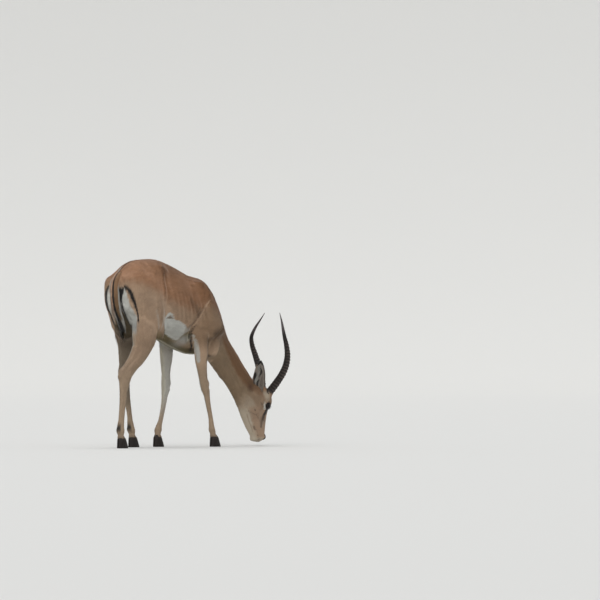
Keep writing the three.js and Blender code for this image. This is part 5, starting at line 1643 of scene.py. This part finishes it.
def claw_rings(toe, middle, side, share):
    """One claw from the sole up: rounded outside, flat towards its neighbour, sloping back."""
    angle = (np.arange(CLAW_SIDES) + 0.5) / CLAW_SIDES * 2 * math.pi
    cos, sin = np.cos(angle)[None, :], np.sin(angle)[None, :]
    foot = 0.90 + 0.10 * ramp(0, 0.07, share)
    above = 1 - 0.35 * ramp(0.98, 1.3, share)
    bead = 1 + 0.006 * np.sin(share * GROWTH_LINES) * (share < 1) - 0.02 * ramp(0.92, 1.0, share)
    size = foot * above * bead
    length = (CLAW["length"] - CLAW["slope"] * np.minimum(share, 1)) * size
    x = toe - CLAW["slope"] * 0.62 * share + length * cos * (1 - 0.04 * sin ** 2)
    outward = np.where(sin > 0, sin ** mix(0.62, 0.95, ramp(0.2, -0.6, cos)), 0.10 * sin)
    out = (CLAW["width"] - 0.002) * np.maximum(outward, -0.08) * size
    y = middle + side * (CLAW["slit"] + 0.0016 + out)
    return np.stack([x, y, np.broadcast_to(share * (HOOF_TOP - 0.001), x.shape)], 2)


def build_hooves(context):
    """The two claws of each foot."""
    hoof = np.array(context.scene.impala_colours.hoof)
    share = np.linspace(0, CLAW_TOP, CLAW_ROWS)[:, None]
    tone = 1 + 0.14 * np.sin(share * GROWTH_LINES) + 0.5 * ramp(0.75, 1.0, share)
    colour = hoof * np.repeat(tone, CLAW_SIDES, axis=1)[..., None]
    for leg, toe in TOES.items():
        leg_side = LEG_LINES[leg][0]
        for word, side in (("inner", -leg_side), ("outer", leg_side)):
            name = f"{leg}_hoof_{word}"
            rings = claw_rings(toe, leg_side * LEG_Y, side, share)
            mesh = facing_out(loft_mesh(name, to_row_rings(rings), colour))
            piece(name, mesh, material_of("Keratin"), [f"{leg}_claw_{word}"])


# ---- tail -------------------------------------------------------------------------------------

TAIL_SPINE = [
    (0.060, 0, 0.870), (0.038, -0.001, 0.864), (0.014, -0.003, 0.840), (0.002, -0.006, 0.808),
    (-0.001, -0.008, 0.776), (0.001, -0.008, 0.742), (0.006, -0.009, 0.708), (0.015, -0.011, 0.676),
    (0.023, -0.013, 0.650), (0.032, -0.014, 0.620),
]
TAIL_HALF = 0.0238
TAIL_FLAT = 0.6  # its thickness as a share of its width
TAIL_ROWS, TAIL_SIDES = 60, 24
TAIL_HAIRS = 9000
TAIL_LENGTHS, TAIL_WIDTHS = (0.012, 0.060), (0.0016, 0.0013)  # of the hair at the root and at the end
# Half width of the black line down the tail, as (share of the way down, share of the tail's half width).
TAIL_LINE = [(0, 0.12), (0.20, 0.20), (0.60, 0.26), (0.70, 0.36), (0.78, 0.56), (0.88, 0.80), (1, 0.84)]


def build_tail(context):
    """The tail's flat dock, and the long hair over it."""
    colours = context.scene.impala_colours
    rng = np.random.default_rng(RNG_SEED + 4)
    material = material_of("Coat")
    path = smooth_path(TAIL_SPINE, TAIL_ROWS)
    share, turn = np.linspace(0, 1, TAIL_ROWS), full_turn(TAIL_SIDES)
    ahead = unit(np.gradient(path, axis=0))
    across = np.array([0, 1.0, 0])
    out = unit(np.cross(ahead, across))
    half = TAIL_HALF * mix(1.10, 0.45, ramp(0.45, 1, share)) * mix(1.1, 1, ramp(0, 0.25, share))

    def on_dock(row, angle):
        """Places on the dock, at rows down it and angles round it."""
        wide, high = half[row] * np.cos(angle), half[row] * TAIL_FLAT * np.sin(angle)
        return path[row] + across * wide[..., None] + out[row] * high[..., None]

    rings = on_dock(np.arange(TAIL_ROWS)[:, None], turn[None, :])
    colour = tail_colour(np.repeat(share, TAIL_SIDES), np.tile(np.cos(turn), TAIL_ROWS), colours)
    colour = colour.reshape(TAIL_ROWS, TAIL_SIDES, 3)
    mesh = facing_out(loft_mesh("tail_dock", to_row_rings(rings), colour))
    value_layer(mesh, "bare", np.zeros(len(mesh.vertices)))
    piece("tail_dock", mesh, material, ["tail"])

    count = hairs(TAIL_HAIRS)
    place = rng.beta(1.25, 0.95, count) * 0.97
    angle = rng.uniform(0, 2 * math.pi, count)
    row = np.minimum((place * (TAIL_ROWS - 1)).astype(int), TAIL_ROWS - 1)
    sideways = np.cos(angle)
    normal = unit(across * sideways[:, None] + out[row] * np.sin(angle)[:, None])
    length = mix(*TAIL_LENGTHS, ramp(0.12, 0.80, place)) * mix(0.8, 1.1, np.abs(sideways))
    length = length * rng.uniform(0.7, 1.15, count)
    length = length * (1 + 0.6 * ramp(0.65, 0.85, sideways) * ramp(0.70, 0.85, place))
    spread = 0.10 * ramp(0.15, 0.6, place) * sideways - 0.10 * ramp(0.6, 0.9, place)
    spread = spread + rng.normal(0, 0.05, count)
    lie = unit(ahead[row] + across * spread[:, None] + rng.normal(0, 0.03, (count, 3)))
    normal = unit(normal - lie * (normal * lie).sum(1)[:, None])
    colour = tail_colour(place, sideways, colours) * rng.normal(1, 0.09, count)[:, None]
    maps = np.stack([0.01 + 0.97 * place, 0.01 + 0.97 * angle / (2 * math.pi)], 1)
    width = mix(*TAIL_WIDTHS, place)
    mesh = tuft_mesh("tail_hair", on_dock(row, angle), normal, lie, length, width, width * 0.35, colour,
                     maps, rows=3, rise=0.02, droop=0.05)
    piece("tail_hair", mesh, material)


def tail_colour(share, sideways, colours):
    """A black line down the middle, cream to its left, a painted highlight that turns into the white of the
    hair lower down, and brown to its right. The line widens to the whole of the end, which has a white
    fringe."""
    saddle, stripe, white, spine = picked(colours, "saddle", "stripe", "white", "spine")
    half = along(TAIL_LINE, share)
    right = mix(saddle * (0.80, 0.86, 0.80), saddle * (0.34, 0.40, 0.34), ramp(0.30, 0.80, share))
    # painted highlight: cream rim light on the tail's left side near the root
    left = mix(saddle * 1.65, white, 0.20 + 0.7 * ramp(0.55, 0.8, share))
    colour = mix(left, right, ramp(0.05, -0.05, sideways))
    fringe = ramp(-0.90, -0.97, sideways) * ramp(0.20, 0.32, share)
    low = ramp(0.72, 0.86, share) * ramp(half, half + 0.10, np.abs(sideways))
    pale = mix(white * 0.75, white * 1.2, ramp(-0.5, 0.5, sideways))
    colour = mix(colour, pale, np.maximum(fringe, low))
    line = mix(spine, stripe, ramp(0.12, 0.36, share))
    off_line = np.abs(sideways + 0.04 + 0.10 * ramp(0.45, 0.75, share))
    return mix(colour, line, ramp(half + 0.06, half - 0.06, off_line))


# ---- materials --------------------------------------------------------------------------------


def set_inputs(node, values):
    """Gives a node's inputs their values."""
    for name, value in values.items():
        node.inputs[name].default_value = value


def hair_group():
    """Fine strands: a tint for the colour, and a height for the bump."""
    name = "Hair strands"
    if name in bpy.data.node_groups:
        return bpy.data.node_groups[name]
    group = bpy.data.node_groups.new(name, "ShaderNodeTree")
    for label, default in (("Fineness", 520.0), ("Contrast", 0.16)):
        socket = group.interface.new_socket(label, in_out="INPUT", socket_type="NodeSocketFloat")
        socket.default_value = default
    for label in ("Tint", "Height"):
        group.interface.new_socket(label, in_out="OUTPUT", socket_type="NodeSocketFloat")
    nodes, links = group.nodes, group.links
    given, result = nodes.new("NodeGroupInput"), nodes.new("NodeGroupOutput")
    place, stretch = nodes.new("ShaderNodeTexCoord"), nodes.new("ShaderNodeMapping")
    stretch.inputs["Scale"].default_value = (0.16, 1.0, 0.30)
    strands, clumps = nodes.new("ShaderNodeTexNoise"), nodes.new("ShaderNodeTexNoise")
    set_inputs(strands, {"Detail": 3.0, "Roughness": 0.6})
    set_inputs(clumps, {"Scale": 95.0, "Detail": 2.0})
    both, centred, tint = (nodes.new("ShaderNodeMath") for _ in range(3))
    both.operation, centred.operation, tint.operation = "ADD", "SUBTRACT", "MULTIPLY_ADD"
    centred.inputs[1].default_value = 1.0
    tint.inputs[2].default_value = 1.0
    for source, target in (
        (place.outputs["Object"], stretch.inputs["Vector"]),
        (stretch.outputs["Vector"], strands.inputs["Vector"]),
        (stretch.outputs["Vector"], clumps.inputs["Vector"]),
        (given.outputs["Fineness"], strands.inputs["Scale"]),
        (strands.outputs["Fac"], both.inputs[0]),
        (clumps.outputs["Fac"], both.inputs[1]),
        (both.outputs[0], centred.inputs[0]),
        (centred.outputs[0], tint.inputs[0]),
        (given.outputs["Contrast"], tint.inputs[1]),
        (tint.outputs[0], result.inputs["Tint"]),
        (both.outputs[0], result.inputs["Height"]),
    ):
        links.new(source, target)
    return group


def new_material(name):
    """A material with its node tree and shader, and its vertex colours ready to use."""
    material = bpy.data.materials.new(name)
    material.use_nodes = True
    tree = material.node_tree
    colour = tree.nodes.new("ShaderNodeVertexColor")
    colour.layer_name = "Coat"
    return material, tree, tree.nodes["Principled BSDF"], colour.outputs["Color"]


def add_bump(tree, shader, height, strength, distance):
    """Gives a shader a bump from a height."""
    bump = tree.nodes.new("ShaderNodeBump")
    set_inputs(bump, {"Strength": strength, "Distance": distance})
    tree.links.new(height, bump.inputs["Height"])
    tree.links.new(bump.outputs["Normal"], shader.inputs["Normal"])


def add_strands(tree, shader, colour, strength, distance):
    """Lays hair or the grain of horn over a shader: a tint on its colour, and a bump."""
    hair = tree.nodes.new("ShaderNodeGroup")
    hair.node_tree = hair_group()
    scale = tree.nodes.new("ShaderNodeVectorMath")
    scale.operation = "SCALE"
    tree.links.new(colour, scale.inputs[0])
    tree.links.new(hair.outputs["Tint"], scale.inputs["Scale"])
    tree.links.new(scale.outputs["Vector"], shader.inputs["Base Color"])
    add_bump(tree, shader, hair.outputs["Height"], strength, distance)
    return hair


def coat_material(name):
    """Short glossy hair over skin, smoother where the skin is bare."""
    material, tree, shader, colour = new_material(name)
    add_strands(tree, shader, colour, 0.35, 0.0008)
    bare, rough = tree.nodes.new("ShaderNodeAttribute"), tree.nodes.new("ShaderNodeMapRange")
    bare.attribute_name = "bare"
    set_inputs(rough, {"To Min": 0.62, "To Max": 0.38})
    tree.links.new(bare.outputs["Fac"], rough.inputs["Value"])
    tree.links.new(rough.outputs["Result"], shader.inputs["Roughness"])
    set_inputs(shader, {"Sheen Weight": 0.12, "Sheen Roughness": 0.45, "Specular IOR Level": 0.35})
    return material


def horn_material(name):
    """Dull keratin, with the grain of its growth."""
    material, tree, shader, colour = new_material(name)
    hair = add_strands(tree, shader, colour, 0.5, 0.0006)
    set_inputs(hair, {"Fineness": 900.0, "Contrast": 0.35})
    set_inputs(shader, {"Roughness": 0.55, "Specular IOR Level": 0.28})
    return material


def bare_material(name):
    """Moist dark skin."""
    material, tree, shader, colour = new_material(name)
    grain = tree.nodes.new("ShaderNodeTexNoise")
    grain.inputs["Scale"].default_value = 700.0
    add_bump(tree, shader, grain.outputs["Fac"], 0.4, 0.0004)
    tree.links.new(colour, shader.inputs["Base Color"])
    set_inputs(shader, {"Roughness": 0.42, "Specular IOR Level": 0.3})
    return material


def eye_material(name):
    """A wet, dark eye."""
    material, tree, shader, colour = new_material(name)
    tree.links.new(colour, shader.inputs["Base Color"])
    set_inputs(shader, {
        "Roughness": 0.22, "Specular IOR Level": 0.12, "Coat Weight": 0.22, "Coat Roughness": 0.03,
    })
    return material


MAKERS = {"Coat": coat_material, "Keratin": horn_material, "Bare skin": bare_material, "Eye": eye_material}


def material_of(name):
    """One of the animal's materials, made when it is first asked for."""
    return bpy.data.materials.get(name) or MAKERS[name](name)


# ---- stage ------------------------------------------------------------------------------------

FLOOR_FLAT, BOWL_TOP, BOWL_WALL = 34.0, 12.0, 46.0  # radius of the floor, height and radius of the wall
FLOOR_RADII, FLOOR_SIDES, SWEEP_STEPS = (0.5, 4.0, 12.0, FLOOR_FLAT), 96, 14
SKY_COLOUR = (0.93, 0.96, 1.0, 1)
# Lamps: name, degrees from upright, azimuth in degrees.
LAMPS = (("above", 16, 150), ("front", 52, -62))
LAMP_SPREAD = 50  # degrees that a lamp's disc takes in
PICTURE = 600  # width and height of the picture
TAIL_ROOT_IN_PICTURE = (114, 448)  # where the floor under the root of the tail comes


def build_stage(context):
    """A pale floor that sweeps up into a round wall, soft light and the camera."""
    stage = context.scene.impala_stage
    add_floor(context, stage)
    world = bpy.data.worlds.new("Sky")
    world.use_nodes = True
    set_inputs(world.node_tree.nodes["Background"], {"Color": SKY_COLOUR, "Strength": stage.sky})
    context.scene.world = world
    context.scene.view_settings.view_transform = "Standard"
    for name, from_upright, azimuth in LAMPS:
        add_lamp(context, name, math.radians(from_upright), math.radians(azimuth), getattr(stage, name))
    add_camera(context, stage)


def add_floor(context, stage):
    """The floor and its wall in one piece."""
    material = bpy.data.materials.new("Floor")
    material.use_nodes = True
    set_inputs(material.node_tree.nodes["Principled BSDF"], {
        "Base Color": (*stage.floor, 1), "Roughness": 0.9, "Specular IOR Level": 0.2,
    })
    sweep = BOWL_WALL - FLOOR_FLAT
    profile = [(radius, 0.0) for radius in FLOOR_RADII] + [
        (FLOOR_FLAT + sweep * math.sin(a), BOWL_TOP * (1 - math.cos(a)))
        for a in np.linspace(0, math.pi / 2, SWEEP_STEPS)[1:]
    ]
    turn = full_turn(FLOOR_SIDES)
    rings = np.array([
        np.stack([r * np.cos(turn), r * np.sin(turn), np.full(FLOOR_SIDES, z)], 1) for r, z in profile
    ])
    mesh = new_mesh("floor", rings.reshape(-1, 3), grid_faces(len(profile), FLOOR_SIDES)[:, ::-1])
    work = bmesh.new()
    work.from_mesh(mesh)
    work.verts.ensure_lookup_table()
    work.faces.new(work.verts[:FLOOR_SIDES])
    bmesh.ops.recalc_face_normals(work, faces=work.faces)
    work.to_mesh(mesh)
    work.free()
    mesh.materials.append(material)
    ground = bpy.data.objects.new("floor", mesh)
    context.scene.collection.objects.link(ground)


def add_lamp(context, name, from_upright, azimuth, strength):
    """A distant lamp with a wide disc, leaning from upright towards an azimuth."""
    lamp = bpy.data.lights.new(name, "SUN")
    lamp.energy = strength
    lamp.angle = math.radians(LAMP_SPREAD)
    holder = bpy.data.objects.new(name, lamp)
    direction = Vector((
        math.sin(from_upright) * math.sin(azimuth), -math.sin(from_upright) * math.cos(azimuth),
        math.cos(from_upright),
    ))
    holder.rotation_euler = direction.to_track_quat("Z", "Y").to_euler()
    context.scene.collection.objects.link(holder)


def add_camera(context, stage):
    """A long lens from behind and to the right, with the animal left of the picture's middle."""
    a, e = stage.azimuth, stage.elevation
    back = Vector((math.sin(a) * math.cos(e), -math.cos(a) * math.cos(e), math.sin(e)))
    right = Vector((math.cos(a), math.sin(a), 0))
    up = back.cross(right)
    per_pixel = stage.across / PICTURE
    x, y = TAIL_ROOT_IN_PICTURE
    aim = TAIL_ROOT + right * (PICTURE / 2 - x) * per_pixel + up * (y - PICTURE / 2) * per_pixel
    data = bpy.data.cameras.new("Camera")
    camera = bpy.data.objects.new("Camera", data)
    camera.location = TAIL_ROOT + back * stage.distance
    direction = aim - camera.location
    camera.rotation_euler = direction.to_track_quat("-Z", "Y").to_euler()
    data.sensor_width = 36.0
    data.lens = data.sensor_width * stage.distance / stage.across
    data.clip_start, data.clip_end = 0.5, 400.0
    context.scene.collection.objects.link(camera)
    context.scene.camera = camera


# ---- the add-on -------------------------------------------------------------------------------


class IMPALA_OT_skin(Operator):
    """Builds the skin over the flesh, with its folds, lids, nostrils and mouth"""

    bl_idname = "impala.skin"
    bl_label = "Skin"

    def execute(self, context):
        build_skin(context)
        return {"FINISHED"}


class IMPALA_OT_coat(Operator):
    """Covers the skin with tufts along the lie of the coat"""

    bl_idname = "impala.coat"
    bl_label = "Coat"

    def execute(self, context):
        build_coat(context)
        return {"FINISHED"}


class IMPALA_OT_ears(Operator):
    """Builds the ears and their hair"""

    bl_idname = "impala.ears"
    bl_label = "Ears"

    def execute(self, context):
        build_ears(context)
        return {"FINISHED"}


class IMPALA_OT_eyes(Operator):
    """Builds the eyeballs, the edges of the lids and the lashes"""

    bl_idname = "impala.eyes"
    bl_label = "Eyes"

    def execute(self, context):
        build_eyes(context)
        return {"FINISHED"}


class IMPALA_OT_horns(Operator):
    """Builds the ringed horns"""

    bl_idname = "impala.horns"
    bl_label = "Horns"

    def execute(self, context):
        build_horns(context)
        return {"FINISHED"}


class IMPALA_OT_hooves(Operator):
    """Builds the claws of the hooves"""

    bl_idname = "impala.hooves"
    bl_label = "Hooves"

    def execute(self, context):
        build_hooves(context)
        return {"FINISHED"}


class IMPALA_OT_tail(Operator):
    """Builds the tail and its hair"""

    bl_idname = "impala.tail"
    bl_label = "Tail"

    def execute(self, context):
        build_tail(context)
        return {"FINISHED"}


class IMPALA_OT_stage(Operator):
    """Adds the floor, the light and the camera"""

    bl_idname = "impala.stage"
    bl_label = "Stage"

    def execute(self, context):
        build_stage(context)
        return {"FINISHED"}


class IMPALA_PT_panel(Panel):
    """Lists the steps that dress the animal"""

    bl_label = "Impala ram"
    bl_space_type = "VIEW_3D"
    bl_region_type = "UI"
    bl_category = "Impala"

    def draw(self, context):
        for step in STEPS:
            self.layout.operator(step.bl_idname)


STEPS = (
    IMPALA_OT_skin, IMPALA_OT_coat, IMPALA_OT_ears, IMPALA_OT_eyes, IMPALA_OT_horns, IMPALA_OT_hooves,
    IMPALA_OT_tail, IMPALA_OT_stage,
)
CLASSES = (ImpalaColours, ImpalaSizes, ImpalaStage, *STEPS, IMPALA_PT_panel)


def register():
    """Registers the properties, the steps and the panel."""
    for kind in CLASSES:
        bpy.utils.register_class(kind)
    bpy.types.Scene.impala_colours = PointerProperty(type=ImpalaColours)
    bpy.types.Scene.impala_sizes = PointerProperty(type=ImpalaSizes)
    bpy.types.Scene.impala_stage = PointerProperty(type=ImpalaStage)


def unregister():
    """Takes them away again."""
    del bpy.types.Scene.impala_colours
    del bpy.types.Scene.impala_sizes
    del bpy.types.Scene.impala_stage
    for kind in reversed(CLASSES):
        bpy.utils.unregister_class(kind)


def main():
    """Dresses the animal step by step."""
    register()
    for step in STEPS:
        group, name = step.bl_idname.split(".")
        getattr(getattr(bpy.ops, group), name)()


if __name__ == "__main__":
    main()
